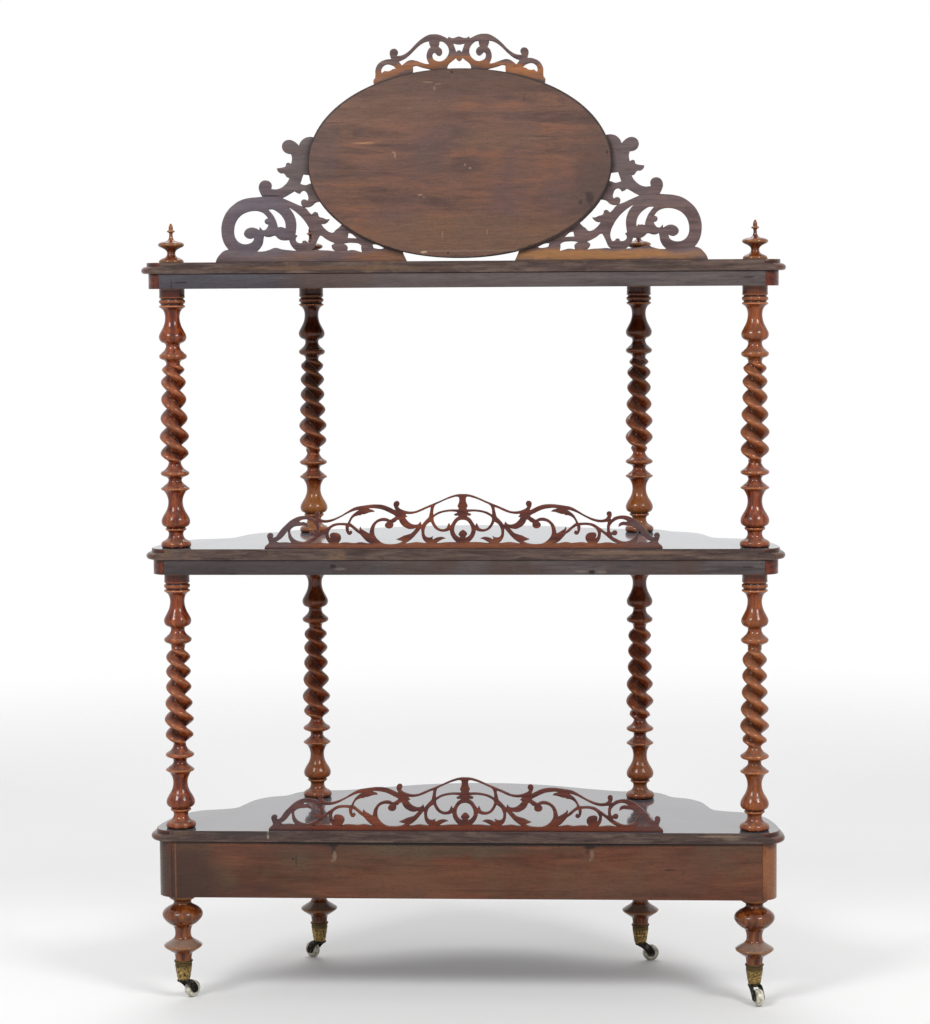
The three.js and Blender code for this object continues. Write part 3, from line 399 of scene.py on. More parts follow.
# %% Walnut
def walnut(name, dark, middle, light, dull, sheen=0.35, along="X", bent=False, figure=8,
           length=14, contrast=1.0, pits=0.62, grain_height=0.15, patch=None, zones=(), marks=(),
           worn_and_lit=None, dust_and_sheen=0.0, dust_and_sheen_below=None, grime_and_shade=("#1d100b", 14, 0.85), **constants):
    """Wood in three tones, with patches and zones in it. Over it lie wear with a painted
    highlight, dusty grey with a painted sheen, and dirt with painted shade.

    dull is its roughness where it is best and least kept, patch a colour, a size in mm and
    a reach, grime a colour, a reach in mm and a share of the dirt and painted shade. Figure
    and grain height are in mm.
    """
    material, tree, shader = finish_of(name, Specular_IOR_Level=sheen, IOR=1.5, **constants)
    place = node(tree, "TexCoord", {}).outputs["Object"]
    lie = follow_bend(tree, place) if bent else place
    broad, streak, pore = grain_of(tree, lie, along, figure, length)
    colour = figured(tree, broad, dark, middle, light)
    if patch:
        colour = patched(tree, colour, place, *patch)
    if zones:
        colour = add_marks(tree, place, colour, zones, ragged=9, lump=30)
    colour = streaked(tree, colour, streak, pore, contrast, pits)
    if worn_and_lit:
        colour = rubbed_lit_and_shaded(tree, colour, worn_and_lit, grime_and_shade[0])
    if dust_and_sheen:
        colour = dusted_and_sheened(tree, colour, place, pore, dust_and_sheen, dust_and_sheen_below)
    if marks:
        colour = add_marks(tree, place, colour, marks)
    # Painted shade, together with dirt, wherever other wood is close by.
    colour = grimed_and_shaded(tree, colour, *grime_and_shade)
    tree.links.new(colour, shader.inputs["Base Color"])
    dullness = node(tree, "MapRange", {"Value": broad, "From Min": 0.35, "From Max": 0.65,
                                       "To Min": dull[1], "To Max": dull[0]}).outputs[0]
    tree.links.new(dullness, shader.inputs["Roughness"])
    height = node(tree, "Math", {0: pore, 1: streak}, operation="ADD").outputs[0]
    relief = node(tree, "Bump", {"Height": height, "Strength": 0.5,
                                 "Distance": grain_height * MM}).outputs[0]
    tree.links.new(relief, shader.inputs["Normal"])
    return material


# %% [markdown]
# The tones below were read from the photograph. A polished post is orange-brown where it
# is rubbed and nearly black in its hollows. Both are painted: the light rings partly as
# wear and partly as a painted highlight, the dark hollows partly as wax and dust and partly
# as painted shade, and every wood is painted darker where other wood is near. The shelf
# tops are darker and so smooth that they mirror the light background. The backs are
# greyed by air: their bump is rougher and they have almost no polish. Every board shows
# the marks of its own life, so these are placed one by one.

# %% Where the backs are marked
# Old nails, holes, cracks, chips and the zones where a board is lighter or darker, a few
# painted shadow lines, and painted light and shade on the posts: (x, z, half width, half
# height, colour, strength), and a breadth where it is a line.
NAIL, HOLE, PALE = "#15100d", "#1a100c", "#a98a6c"
OVAL_ZONES = [
    (0, 1395, 210, 34, "#523b30", 0.7), (-205, 1240, 40, 90, "#4d3a34", 0.7),
    (90, 1340, 90, 26, "#6b4c3c", 0.5), (-20, 1160, 190, 30, "#6b4f3c", 0.6),
    (205, 1290, 30, 70, "#53423f", 0.5), (-60, 1300, 60, 16, "#74563a", 0.3),
    (60, 1262, 50, 22, "#4f3d38", 0.35), (-10, 1262, 30, 14, "#463632", 0.4),
]
OVAL_MARKS = [
    # The two lines round the rim: the first darkens the edge, the second, set a little off, is a
    # painted shadow line.
    (0, 1264, 224.4, 138.8, "#1d1310", 0.8, 0.008), (3, 1266.4, 228, 141, "#201512", 0.8, 0.011),
    (177.3, 1349.4, 2, 2, NAIL, 0.9), (9.9, 1397.3, 2.4, 1.8, NAIL, 0.9),
    (186.7, 1186.9, 1.8, 1.8, NAIL, 0.9), (18.1, 1132.8, 2, 1.8, NAIL, 0.9),
    # The pale blue-white mark is a pin's head, its colour a painted glint.
    (-217.3, 1278.9, 1.6, 2.4, NAIL, 0.8), (83.6, 1398.1, 2.2, 1.6, "#c8dbe2", 0.9),
    (141, 1295, 16, 0.8, "#b98d62", 0.6), (95.2, 1277.1, 1.6, 4.4, PALE, 0.4),
    (97.5, 1281, 2.4, 1.2, PALE, 0.4), (-15.5, 1257.2, 2.4, 1.6, PALE, 0.4),
    (-8, 1262, 1.4, 2, PALE, 0.35), (58.8, 1218.3, 3.6, 1.4, PALE, 0.45),
    (53, 1215, 1.6, 1, PALE, 0.4), (53.7, 1134.5, 5, 1.5, "#c9b39a", 0.6),
    (-192, 1212, 6, 9, "#241a18", 0.7), (-188, 1218, 3, 3, "#241a18", 0.6),
    (-178, 1206, 3, 3.4, "#241a18", 0.6), (-197, 1200, 8, 4, "#2f2320", 0.4),
    (178.5, 1324.6, 25, 0.7, HOLE, 0.6), (-185.2, 1328.6, 16, 0.7, HOLE, 0.4),
    (-96, 1358, 2, 6, "#39291f", 0.4), (46, 1383, 8, 0.9, PALE, 0.3), (36, 1374, 2, 3, PALE, 0.25),
    (30, 1380, 5, 1, PALE, 0.25), (-20, 1136, 90, 1.4, "#8f7763", 0.3),
    (-40, 1163, 1, 4, PALE, 0.3), (26, 1160, 0.9, 5, PALE, 0.35),
    (-70, 1330, 5, 1.4, "#3a2a22", 0.4), (-110, 1300, 24, 0.9, "#8a6a50", 0.25),
]
RAIL_ZONES = [
    (380, 1092, 130, 22, "#3f3d46", 0.8), (330, 665, 190, 22, "#382f30", 0.7),
    (0, 1092, 200, 20, "#5b504e", 0.5),
]
RAIL_MARKS = [
    (417, 1091.5, 10, 1.3, HOLE, 0.9), (431, 1085, 1, 11, HOLE, 0.8),
    (-426, 1094.9, 8, 1.3, HOLE, 0.8), (-176, 660, 9, 2, "#7d7068", 0.4),
    (-207, 659, 8, 2.6, "#7d7068", 0.5), (184, 663.5, 9, 2.2, "#7d7068", 0.4),
    (194.5, 667.8, 4.6, 3.2, HOLE, 0.95), (-192.7, 659.1, 4.6, 3.2, HOLE, 0.95),
    (-424.1, 666.5, 9, 1.2, HOLE, 0.8), (346.8, 654.8, 6, 2.6, HOLE, 0.8),
]
EDGE_MARKS = [
    (298, 260.4, 2, 6, "#a99a8a", 0.6), (-386, 261, 36, 1.6, "#8a7963", 0.6),
    (-400, 258, 14, 2.4, "#7c6c58", 0.5), (190, 1112, 160, 3, "#6a4d35", 0.5),
    (-300, 1111, 60, 3, "#3a2c26", 0.7), (-250, 688, 90, 3.4, "#7d6350", 0.5),
    (330, 262, 60, 3, "#34302f", 0.7),
]
BASE_ZONES = [
    (250, 236, 110, 12, "#4a342b", 0.5), (110, 180, 120, 18, "#6b4738", 0.4),
    (-250, 180, 120, 14, "#5e4033", 0.5), (330, 170, 60, 16, "#452e27", 0.5),
    (430, 190, 60, 60, "#3d2822", 0.8), (-330, 215, 60, 30, "#5a3b2e", 0.5),
    (20, 240, 130, 14, "#4d4538", 0.5), (-40, 190, 260, 24, "#6f4a36", 0.4),
]
BASE_MARKS = [
    (199.5, 245, 8, 3.4, HOLE, 0.95), (199, 238, 3.6, 7, HOLE, 0.6),
    (197.6, 228, 3, 8, "#8a7765", 0.5), (201, 221, 2, 3, "#8a7765", 0.35),
    (-187.9, 244, 9, 3.6, HOLE, 0.9), (-184, 238, 3, 6, HOLE, 0.5),
    (-191, 232, 3, 7, "#8a7765", 0.4), (-188, 224, 2, 3, "#8a7765", 0.3),
    (261, 223.2, 1.6, 2, NAIL, 0.9), (-307.8, 209.5, 9, 1.6, NAIL, 0.6),
    (-467.8, 207.3, 2, 3, NAIL, 0.8), (256, 220, 1.4, 8, HOLE, 0.5),
    # The long dark line along the top is a painted shadow under the bottom shelf's edge.
    (440, 200, 1.2, 60, "#8a5a3a", 0.5), (0, 248.4, 440, 4, "#120b09", 0.95),
    (300, 195, 60, 2, "#452a20", 0.5), (-60, 176, 120, 1.4, "#40281f", 0.4),
    (-120, 161.5, 330, 2, "#756a60", 0.5), (90, 214, 90, 1.6, "#472c22", 0.4),
]
CREST_ZONES = [
    (0, 1264, 236, 149, "#885634", 0.85, 0.05), (-95, 1402, 40, 8, "#9c6238", 0.6),
]
BRACKET_ZONES = [
    (-190, 1128, 165, 9, "#98693d", 0.9), (110, 1127, 60, 8, "#85542e", 0.6),
    (270, 1127, 60, 6, "#74503a", 0.5), (300, 1180, 60, 60, "#57505a", 0.7),
    (230, 1270, 40, 60, "#57504f", 0.6), (-250, 1255, 40, 60, "#5f5454", 0.5),
]
BRACKET_MARKS = [(283, 1219, 17, 1.2, HOLE, 0.8), (-215, 1147, 40, 1, "#5d4a3c", 0.5)]
FRET_ZONES = [
    (0, 698, 340, 8, "#7d4a33", 0.9), (0, 271, 340, 8, "#66301d", 0.95),
    (285, 720, 60, 34, "#564a4d", 0.7), (-280, 716, 50, 26, "#564a4c", 0.6),
    (285, 295, 60, 34, "#4f4345", 0.6), (-285, 290, 40, 26, "#4f4242", 0.5),
]
SIDE_ZONES = [(-470, 205, 30, 60, "#8d5a37", 0.9), (470, 205, 34, 60, "#46332a", 0.9)]
# Painted light and shade on the posts: dark bands on the drums under the middle and top shelves are
# painted shade; the front posts are painted dark below each shelf, as its shadow, and lighter just
# above the shelf they stand on, as painted light. The rear left posts are painted lighter over long
# stretches.
POST_LIGHT_AND_SHADE = [
    (0, 1075, 4000, 12, "#420f04", 0.9), (0, 648, 4000, 12, "#420f04", 0.75),
    (-430, 440, 60, 190, "#8c5123", 0.45), (-430, 960, 60, 120, "#8c5123", 0.35),
    (260, 730, 30, 40, "#9a5f2c", 0.8), (-260, 730, 30, 40, "#95582a", 0.7),
    (260, 310, 30, 34, "#8a4f26", 0.6), (-260, 310, 30, 34, "#8a4f26", 0.6),
    (260, 985, 30, 125, "#30140a", 0.75), (-260, 1000, 30, 100, "#3a190c", 0.65),
    (260, 610, 30, 60, "#43200f", 0.5), (-260, 610, 30, 60, "#43200f", 0.5),
]
print("marks on the oval backboard:", len(OVAL_MARKS))

# %% Turned wood
# Walnut turned on a lathe and French polished. The shellac glows orange-brown on the
# bellies. The rings are painted lighter, as wear and as a painted highlight, and the hollows
# nearly black, as old wax and as painted shade. What faces up is paler with dust and a
# painted sheen, and the posts carry painted light and shade from the shelves.
turned_walnut = walnut("walnut, turned and French polished", "#451509", "#763012", "#9a4f25",
                       dull=(0.13, 0.22), sheen=0.36, along="Z", figure=9, pits=0.85,
                       grain_height=0.02, zones=POST_LIGHT_AND_SHADE, worn_and_lit="#b06c40", dust_and_sheen=0.3,
                       grime_and_shade=("#2a0a03", 26, 1.0))
# The same on legs and finials, where the polish is worn thin. It looks browner. The lowest
# rings are paler where they face up, with dust and a painted sheen, and rings and hollows
# are painted light and dark as on the posts.
worn_walnut = walnut("walnut, turned and worn", "#42190a", "#6b3416", "#8a5026",
                     dull=(0.13, 0.23), sheen=0.4, along="Z", figure=9, pits=0.85,
                     grain_height=0.02, worn_and_lit="#9c6c3c", dust_and_sheen=0.7, dust_and_sheen_below=95,
                     grime_and_shade=("#2a0f05", 18, 1.0))
print("woods:", len(bpy.data.materials))

# %% Polished boards
# Shelf tops: so many coats of shellac that the pores are filled. They are nearly black
# and mirror the room, and a film of dust turns them bluish at a flat angle.
shelf_polish = walnut("walnut, French polished shelf", "#23120d", "#341c14", "#45281c",
                      dull=(0.05, 0.12), sheen=0.85, figure=14, grain_height=0.01,
                      Coat_Weight=0.38, Coat_Roughness=0.04, Sheen_Weight=0.2,
                      Sheen_Tint=(0.7, 0.82, 1, 1))
# Mirror frame, bands and drawer front: a thinner polish, red-brown and softly shining. On
# the frame, what faces up is paler with dust and a painted sheen.
RED_WALNUT = ("#3a1209", "#5c2210", "#75321a")
frame_polish = walnut("walnut, polished frame", *RED_WALNUT, dull=(0.2, 0.32), sheen=0.32,
                      grain_height=0.04, dust_and_sheen=0.3)
edge_polish = walnut("walnut, polished and bent", *RED_WALNUT, dull=(0.2, 0.32), sheen=0.32,
                     bent=True, grain_height=0.04)
# Sides of the base: the same, faded a little by the light that falls on them.
side_wood = walnut("walnut, polished side of the base", "#3c150c", "#5b2513", "#75361c",
                   dull=(0.22, 0.34), sheen=0.33, bent=True, grain_height=0.05,
                   zones=SIDE_ZONES)
# Shelf mouldings: polish gone dark where hands and cloths leave grease. Their edges are
# painted lighter, as wear and a painted highlight, and what faces up is paler, as dust and
# a painted sheen.
moulded_edge = walnut("walnut, moulded edge gone dark", "#260d08", "#3e180d", "#552515",
                      dull=(0.22, 0.34), sheen=0.32, bent=True, grain_height=0.04,
                      worn_and_lit="#6e4630", dust_and_sheen=0.2)
print("woods:", len(bpy.data.materials))

# %% Planed backs
# Back edges of the shelves: sawn, never polished, dull and grey-brown with stains.
sawn_edge = walnut("walnut, sawn edge gone dark", "#3a2c28", "#4c3b36", "#625047",
                   dull=(0.5, 0.7), sheen=0.3, figure=6, length=9, contrast=0.7,
                   grain_height=0.2, patch=("#66503f", 60, 0.6, 0.7), marks=EDGE_MARKS)
# Back rails: planed and bare, gone nearly slate grey in the air.
rail_wood = walnut("walnut, planed back rail", "#403838", "#4d4444", "#5b514f",
                   dull=(0.5, 0.7), sheen=0.3, figure=7, contrast=0.5, grain_height=0.2,
                   patch=("#4a3a35", 150, 0.5, 0.62), zones=RAIL_ZONES, marks=RAIL_MARKS)
# Back of the base: planed and wiped with thin polish, so red shows through the grey.
base_wood = walnut("walnut, planed back of the base", "#482819", "#5d3525", "#6f432f",
                   dull=(0.36, 0.5), sheen=0.25, figure=16, length=9, contrast=0.5,
                   patch=("#574130", 75, 0.44, 0.7), zones=BASE_ZONES, marks=BASE_MARKS)
# Oval backboard: a planed board with wild figure, matt, dark at its rim.
oval_wood = walnut("walnut, planed oval backboard", "#503830", "#664739", "#784f3b",
                   dull=(0.45, 0.62), figure=16, length=7, contrast=0.6,
                   patch=("#5b4440", 90, 0.42, 0.7), zones=OVAL_ZONES, marks=OVAL_MARKS)
print("woods:", len(bpy.data.materials))

# %% Fretwork and drawer box
# Crest and brackets: cut from thin boards and left bare behind. They are grey with a
# breath of violet, and orange where the wood was shielded from the light.
crest_wood = walnut("walnut, fret-cut crest", "#4f3b3a", "#5e4947", "#6e5449",
                    dull=(0.4, 0.6), contrast=0.7, grain_height=0.1, zones=CREST_ZONES)
bracket_wood = walnut("walnut, fret-cut bracket", "#4e3b3b", "#5d4a4a", "#6b534d",
                      dull=(0.4, 0.6), contrast=0.7, grain_height=0.1, zones=BRACKET_ZONES,
                      marks=BRACKET_MARKS)
# Back galleries: the same boards, polished thinly on both faces, so they stay redder.
fret_wood = walnut("walnut, fret-cut back rail", "#482622", "#5a2f27", "#6d382a",
                   dull=(0.35, 0.5), sheen=0.2, contrast=0.7, grain_height=0.1,
                   patch=("#743c2a", 80, 0.56, 0.66), zones=FRET_ZONES)
# Drawer box: planed pine, matt and pale yellow-brown, with straight rings. It is painted
# darker where boards meet, as dirt and painted shade.
box_wood = walnut("pine, planed drawer box", "#8d6a46", "#a37d54", "#b38d62",
                  dull=(0.6, 0.75), sheen=0.3, figure=11, grime_and_shade=("#4a3524", 14, 0.85))
print("woods:", len(bpy.data.materials))

# %% [markdown]
# ## Metal, ceramic and mirror
# The castors are cast and turned brass. Handling keeps the proud parts yellow, and
# everywhere else it has gone brown to black, so colour and roughness change together. The
# wheels are glazed white stoneware, stained round the axle. The mirror's silvering is a
# metal behind glass, and a metal with hardly any roughness gives the same picture.

# %% A finish in two states
def patchy(name, clean, stained, size, reach, roughness, stained_above=None, **constants):
    """Clean and stained colour and roughness, which meet in ragged patches of a size."""
    material, tree, shader = finish_of(name, **constants)
    place = node(tree, "TexCoord", {}).outputs["Object"]
    cloud = node(tree, "TexNoise", {"Vector": place, "Scale": 1 / (size * MM), "Detail": 5.0,
                                    "Roughness": 0.65}).outputs["Fac"]
    share = node(tree, "MapRange", {"Value": cloud, "From Min": reach[0],
                                    "From Max": reach[1]}).outputs[0]
    # What lies within 4 mm of other metal is hardly ever wiped.
    air = node(tree, "AmbientOcclusion", {"Distance": 4 * MM}, samples=8).outputs["AO"]
    kept = node(tree, "MapRange", {"Value": air, "From Min": 0.8, "From Max": 0.35}).outputs[0]
    share = node(tree, "Math", {0: share, 1: kept}, operation="MAXIMUM").outputs[0]
    if stained_above:
        height = node(tree, "SeparateXYZ", {0: place}).outputs["Z"]
        upper = node(tree, "MapRange", {"Value": height, "From Min": (stained_above - 2) * MM,
                                        "From Max": (stained_above + 3) * MM, "To Max": 0.85})
        share = node(tree, "Math", {0: share, 1: upper.outputs[0]}, operation="MAXIMUM").outputs[0]
    colour = node(tree, "Mix", {0: share, 6: tone(clean), 7: tone(stained)},
                  data_type="RGBA").outputs[2]
    tree.links.new(colour, shader.inputs["Base Color"])
    dull = node(tree, "MapRange", {"Value": share, "To Min": roughness[0],
                                   "To Max": roughness[1]}).outputs[0]
    tree.links.new(dull, shader.inputs["Roughness"])
    relief = node(tree, "Bump", {"Height": cloud, "Strength": 0.3, "Distance": 0.1 * MM})
    tree.links.new(relief.outputs[0], shader.inputs["Normal"])
    return material


# %% Brass, black metal, glaze and silvering
# Turned brass cups: a dull yellow gleam where they are rubbed, brown tarnish in between,
# and a dark rim where the leg keeps the cloth off.
old_brass = patchy("brass, tarnished", "#b0935a", "#3b3226", 3, (0.42, 0.6), (0.32, 0.6),
                   stained_above=50, Metallic=1.0)
# Cast horns and axles: brass gone black, with a weak grey shine on its worn places.
black_metal = patchy("brass, blackened", "#5b554c", "#232220", 6, (0.36, 0.5), (0.35, 0.6),
                     Metallic=1.0)
# Wheels: stoneware glazed and fired, milk white and glossy, with grey-brown stains.
glaze = patchy("stoneware, glazed white", "#d8d3c1", "#8b8672", 5, (0.45, 0.62), (0.12, 0.3),
               Coat_Weight=0.5, Coat_Roughness=0.05)
# Mirror: silver behind glass, a clear picture with a few blind patches.
silvering = patchy("mirror, silvered plate", "#d9dddd", "#b9b8ae", 30, (0.68, 0.8), (0.02, 0.12),
                   Metallic=1.0)
print("materials:", len(bpy.data.materials))

# %% [markdown]
# ## Shelves
# A shelf is one board with a moulding run round its front and ends: a rounded nose below
# and a small step above it. The back edge is plain, because the whole board was moulded
# and then sawn straight. The same order works here. A flat face of the plan is drawn at
# the nose's widest line, thickened, and then inset step by step towards the top and the
# underside, as a cutter would pass. The saw comes last.

# %% The plan of a shelf
# Half of it, from the middle of the back: the share of the half width, and of the depth.
PLAN_SHARES = [
    (0.9364, 0), (0.958, 0.0045), (0.981, 0.022), (0.996, 0.050), (1, 0.076), (0.997, 0.130),
    (0.985, 0.214), (0.957, 0.318), (0.905, 0.394), (0.838, 0.423), (0.797, 0.450),
    (0.778, 0.515), (0.755, 0.610), (0.715, 0.675), (0.658, 0.713), (0.630, 0.770),
    (0.595, 0.810), (0.534, 0.824), (0.480, 0.830), (0.384, 0.872), (0.256, 0.940),
    (0.150, 0.980), (0, 1),
]
HALF_WIDTH, DEPTH, BACK_Y = 471.5, 397, 201.8
side = [Vector((across * HALF_WIDTH, BACK_Y - deep * DEPTH)) for across, deep in PLAN_SHARES]
curve = smooth(side + [Vector((-p.x, p.y)) for p in reversed(side[:-1])], 6)
# From above, counter-clockwise: along the back to the left, then round by the front.
plan = [Vector((-p.x, p.y)) for p in curve]
BACK_STEPS = 140
plan += [Vector((plan[0].x * (2 * k / BACK_STEPS - 1), BACK_Y)) for k in range(1, BACK_STEPS)]


def offset(loop, reach):
    """The loop moved outwards by a reach, or inwards where it is less than nothing."""
    moved = []
    for before, here, after in zip(loop[-1:] + loop[:-1], loop, loop[1:] + loop[:1]):
        along = (here - before).normalized() + (after - here).normalized()
        normal = Vector((along.y, -along.x)).normalized()
        cosine = normal.dot(Vector((after.y - here.y, here.x - after.x)).normalized())
        moved.append(here + normal * reach / max(cosine, 0.6))
    # Where a bend is tighter than the reach, its points cross over and are left out.
    return [p for p in moved if min((p - q).length for q in loop) > abs(reach) - 0.2]


def at_height(loop, z):
    return [(p.x, p.y, z) for p in loop]


print("points in the plan:", len(plan))

# %% Mould a board from its widest line
def board_from(name, loop, z, thickness):
    """A flat board: the loop's face, extruded upwards."""
    obj = draw(name, at_height(loop, z), face=True)
    pick(obj, everything)
    bpy.ops.mesh.extrude_region_move(TRANSFORM_OT_translate={"value": (0, 0, thickness * MM)})
    bpy.ops.object.mode_set(mode="OBJECT")
    return close_up(obj, 0.001)


def pass_cutter(obj, upwards, steps):
    """Insets the top or the underside step by step: how far in, and how far out of it."""
    pick(obj, lambda face: face.normal.z * upwards > 0.9 and len(face.verts) > 4)
    for inwards, onwards in steps:
        bpy.ops.mesh.inset(thickness=inwards * MM, depth=onwards * MM, use_even_offset=True)
    bpy.ops.object.mode_set(mode="OBJECT")


# How far outside the plan the nose is widest, how high that lies, and how flat it is.
NOSE_OUT, NOSE_Z, NOSE_FLAT = 9, 4.2, 0.6
NOSE_TOP = [(0.25, 1.4), (0.9, 1.6), (1.3, 1.2), (1.7, 0.9), (2.0, 0.5), (1.7, 0.2), (0.25, 0.35),
            (0, 4.6), (0.25, 0.5), (0.65, 0.45)]
NOSE_UNDER = [(0.25, 1.3), (0.9, 1.4), (1.2, 1.0), (1.9, 0.5)]
shelf = board_from("shelf", offset(plan, NOSE_OUT), NOSE_Z, NOSE_FLAT)
pass_cutter(shelf, 1, NOSE_TOP)
pass_cutter(shelf, -1, NOSE_UNDER)
saw(shelf, (0, BACK_Y, 0), (0, 1, 0))
close_up(shelf, 0.001)
heights = [v.co.z / MM for v in shelf.data.vertices]
print("shelf thickness:", min(heights), max(heights), "faces:", len(shelf.data.polygons))

# %% Three shelves, each with a polished top, moulding and a sawn back
SHELF_Z = {"bottom": 249.7, "middle": 677.2, "top": 1104.7}
SHELF_THICKNESS = 16.5
SHELF_TOP = {name: z + SHELF_THICKNESS for name, z in SHELF_Z.items()}
for finish in (moulded_edge, shelf_polish, sawn_edge):
    shelf.data.materials.append(finish)
for face in shelf.data.polygons:
    if face.normal.z > 0.95 and face.center.z > (SHELF_THICKNESS - 0.5) * MM:
        face.material_index = 1
    elif face.normal.y > 0.95 and abs(face.center.y / MM - BACK_Y) < 0.1:
        face.material_index = 2
for name, z in SHELF_Z.items():
    piece = copy_of(shelf, f"moulded_shelf_{name}", (0, 0, z))
    dress(piece, "cabinet", "polished_walnut", None, f"shelf_{name}")
bpy.data.objects.remove(shelf)

# %% [markdown]
# ## Rails and bands under the shelves
# Under the top and the middle shelf a straight rail runs along the back, and a thin bent
# band from one of its ends round the front to the other. The band widens to a round pad
# over each post, to give the post's dowel something to sit in. It could be a bent strip
# with pads stuck on, but one board with its inside sawn out gives both at once: the
# hollow is the inner plan, less a disc at each post, and the rail's place is cut away.

# %% Straight boards with softened edges
def plank(name, low, high, round_off):
    """A board between two corners: a cube at its size and place, its edges softened."""
    low, high = Vector(low) * MM, Vector(high) * MM
    bpy.ops.object.select_all(action="DESELECT")
    bpy.ops.mesh.primitive_cube_add(size=1)
    obj = bpy.context.object
    obj.name = obj.data.name = name
    pick(obj, everything, "VERT")
    bpy.ops.transform.resize(value=tuple(high - low))
    bpy.ops.transform.translate(value=(low + high) / 2)
    bpy.ops.object.mode_set(mode="OBJECT")
    return soften(obj, round_off) if round_off else obj


RAIL_HALF, RAIL_HEIGHT, RAIL_FRONT_Y, RAIL_BACK_Y = 450, 22.5, 181.8, 199.8
RAIL_Z = {name: SHELF_Z[name] - RAIL_HEIGHT for name in ("middle", "top")}
for name, z in RAIL_Z.items():
    rail = plank(f"planed_rail_{name}", (-RAIL_HALF, RAIL_FRONT_Y, z),
                 (RAIL_HALF, RAIL_BACK_Y, z + RAIL_HEIGHT), 1.0)
    dress(rail, "cabinet", "raw_walnut", rail_wood, f"back_rail_{name}")

# %% The band with its four pads
POSTS = {"rear_left": (-435, 173.8), "rear_right": (435, 173.8),
         "front_left": (-259.5, -74.1), "front_right": (259.5, -74.1)}
PAD_RADIUS, BAND_INSET, BAND_WIDTH = 34, 1.5, 15
# Each tool reaches past the wood above and below, so that it leaves no skin.
band = board_from("band", offset(plan, -BAND_INSET), 0, RAIL_HEIGHT)
hollow = board_from("hollow", offset(plan, -BAND_INSET - BAND_WIDTH), -5, RAIL_HEIGHT + 10)
for x, y in POSTS.values():
    disc = [Vector((x + PAD_RADIUS * math.cos(a / 32 * math.pi),
                    y + PAD_RADIUS * math.sin(a / 32 * math.pi))) for a in range(64)]
    combine(hollow, board_from("disc", disc, -8, RAIL_HEIGHT + 16), "DIFFERENCE")
combine(band, hollow, "DIFFERENCE")
GAP = 0.3  # left between the rail's ends and the band
combine(band, plank("stretch", (-RAIL_HALF - GAP, RAIL_FRONT_Y, -20),
                    (RAIL_HALF + GAP, 260, RAIL_HEIGHT + 20), 0), "DIFFERENCE")
print("band faces", len(band.data.polygons), "wide", 2 * max(v.co.x for v in band.data.vertices))
soften(close_up(band), 0.6)
for name, z in RAIL_Z.items():
    piece = copy_of(band, f"bent_band_{name}", (0, 0, z))
    dress(piece, "cabinet", "polished_walnut", edge_polish, f"frieze_band_{name}")
bpy.data.objects.remove(band)

# %% [markdown]
# ## Base
# Below the bottom shelf a deep frieze holds the drawer. Its back is one straight board.
# At each end a board bends round the corner and follows the shelf to the drawer's
# opening. Such a bent board is a strip drawn along its outer face, raised to its height
# and given its thickness inwards by Solidify, then sawn off at the opening.

# %% Bent side boards
BASE_Z, BASE_TOP_Z, BACK_HALF = 163.2, SHELF_Z["bottom"], 446.3
BASE_FRONT_Y, BASE_BACK_Y, BOARD = 180.8, 198.8, 18
SIDE_INSET, OPENING_HALF = 3, 223


def strip(name, line, z0, z1, thickness):
    """A bent board: a line raised to a height, with its thickness to the right of the line."""
    obj = draw(name, at_height(line, z0), closed=False)
    pick(obj, everything, "EDGE")
    bpy.ops.mesh.extrude_edges_move(TRANSFORM_OT_translate={"value": (0, 0, (z1 - z0) * MM)})
    bpy.ops.object.mode_set(mode="OBJECT")
    modify(obj, "SOLIDIFY", thickness=thickness * MM, offset=1, use_even_offset=True)
    return close_up(obj, 0.001)


face_line = offset(plan, -SIDE_INSET)
right_run = [p for p in reversed(face_line)
             if p.x > OPENING_HALF - 8 and (p.x > BACK_HALF or p.y < 150)]
right_run = [Vector((BACK_HALF, BASE_BACK_Y))] + right_run
print("right side runs from", right_run[0], right_run[1], "to", right_run[-1])
side_board = strip("side_board", right_run, BASE_Z, BASE_TOP_Z, BOARD)
saw(side_board, (OPENING_HALF, 0, 0), (-1, 0, 0))
soften(close_up(side_board), 0.5)
for name, mirror in (("left", True), ("right", False)):
    piece = copy_of(side_board, f"bent_side_{name}", mirror=mirror)
    dress(piece, "cabinet", "polished_walnut", side_wood, f"base_side_{name}")
bpy.data.objects.remove(side_board)

# %% Back board and bottom board
back_board = plank("planed_base_back", (-446, BASE_FRONT_Y, BASE_Z),
                   (446, BASE_BACK_Y, BASE_TOP_Z), 0.6)
dress(back_board, "cabinet", "raw_walnut", base_wood, "base_back_board")
FLOOR_INSET, FLOOR_THICKNESS = 21.3, 12  # it lies inside the side boards
floor_board = board_from("base_floor", offset(plan, -FLOOR_INSET), BASE_Z, FLOOR_THICKNESS)
dress(floor_board, "cabinet", "raw_walnut", rail_wood, "base_bottom_board")

# %% [markdown]
# ## Turned work
# Posts, legs, finials and knobs come off a lathe, and a lathe is what Spin is: half of
# the outline, drawn in the plane of the axis, is swept once round it. Cylinders and
# spheres could be stacked instead, but a turner cuts one flowing profile, with beads,
# hollows and thin flanges that run into each other.

# %% Spin a profile
def turned(name, profile, sides=48, step=1.6):
    """A turned piece on the Z axis, from (height, radius) points, closed at both ends."""
    line = smooth(profile, step)
    line = [Vector((line[0].x, 0))] + line + [Vector((line[-1].x, 0))]
    obj = draw(name, [(max(p.y, 0), 0, p.x) for p in line], closed=False)
    pick(obj, everything, "VERT")
    bpy.ops.mesh.spin(steps=sides, angle=2 * math.pi, center=(0, 0, 0), axis=(0, 0, 1))
    bpy.ops.object.mode_set(mode="OBJECT")
    return close_up(obj)


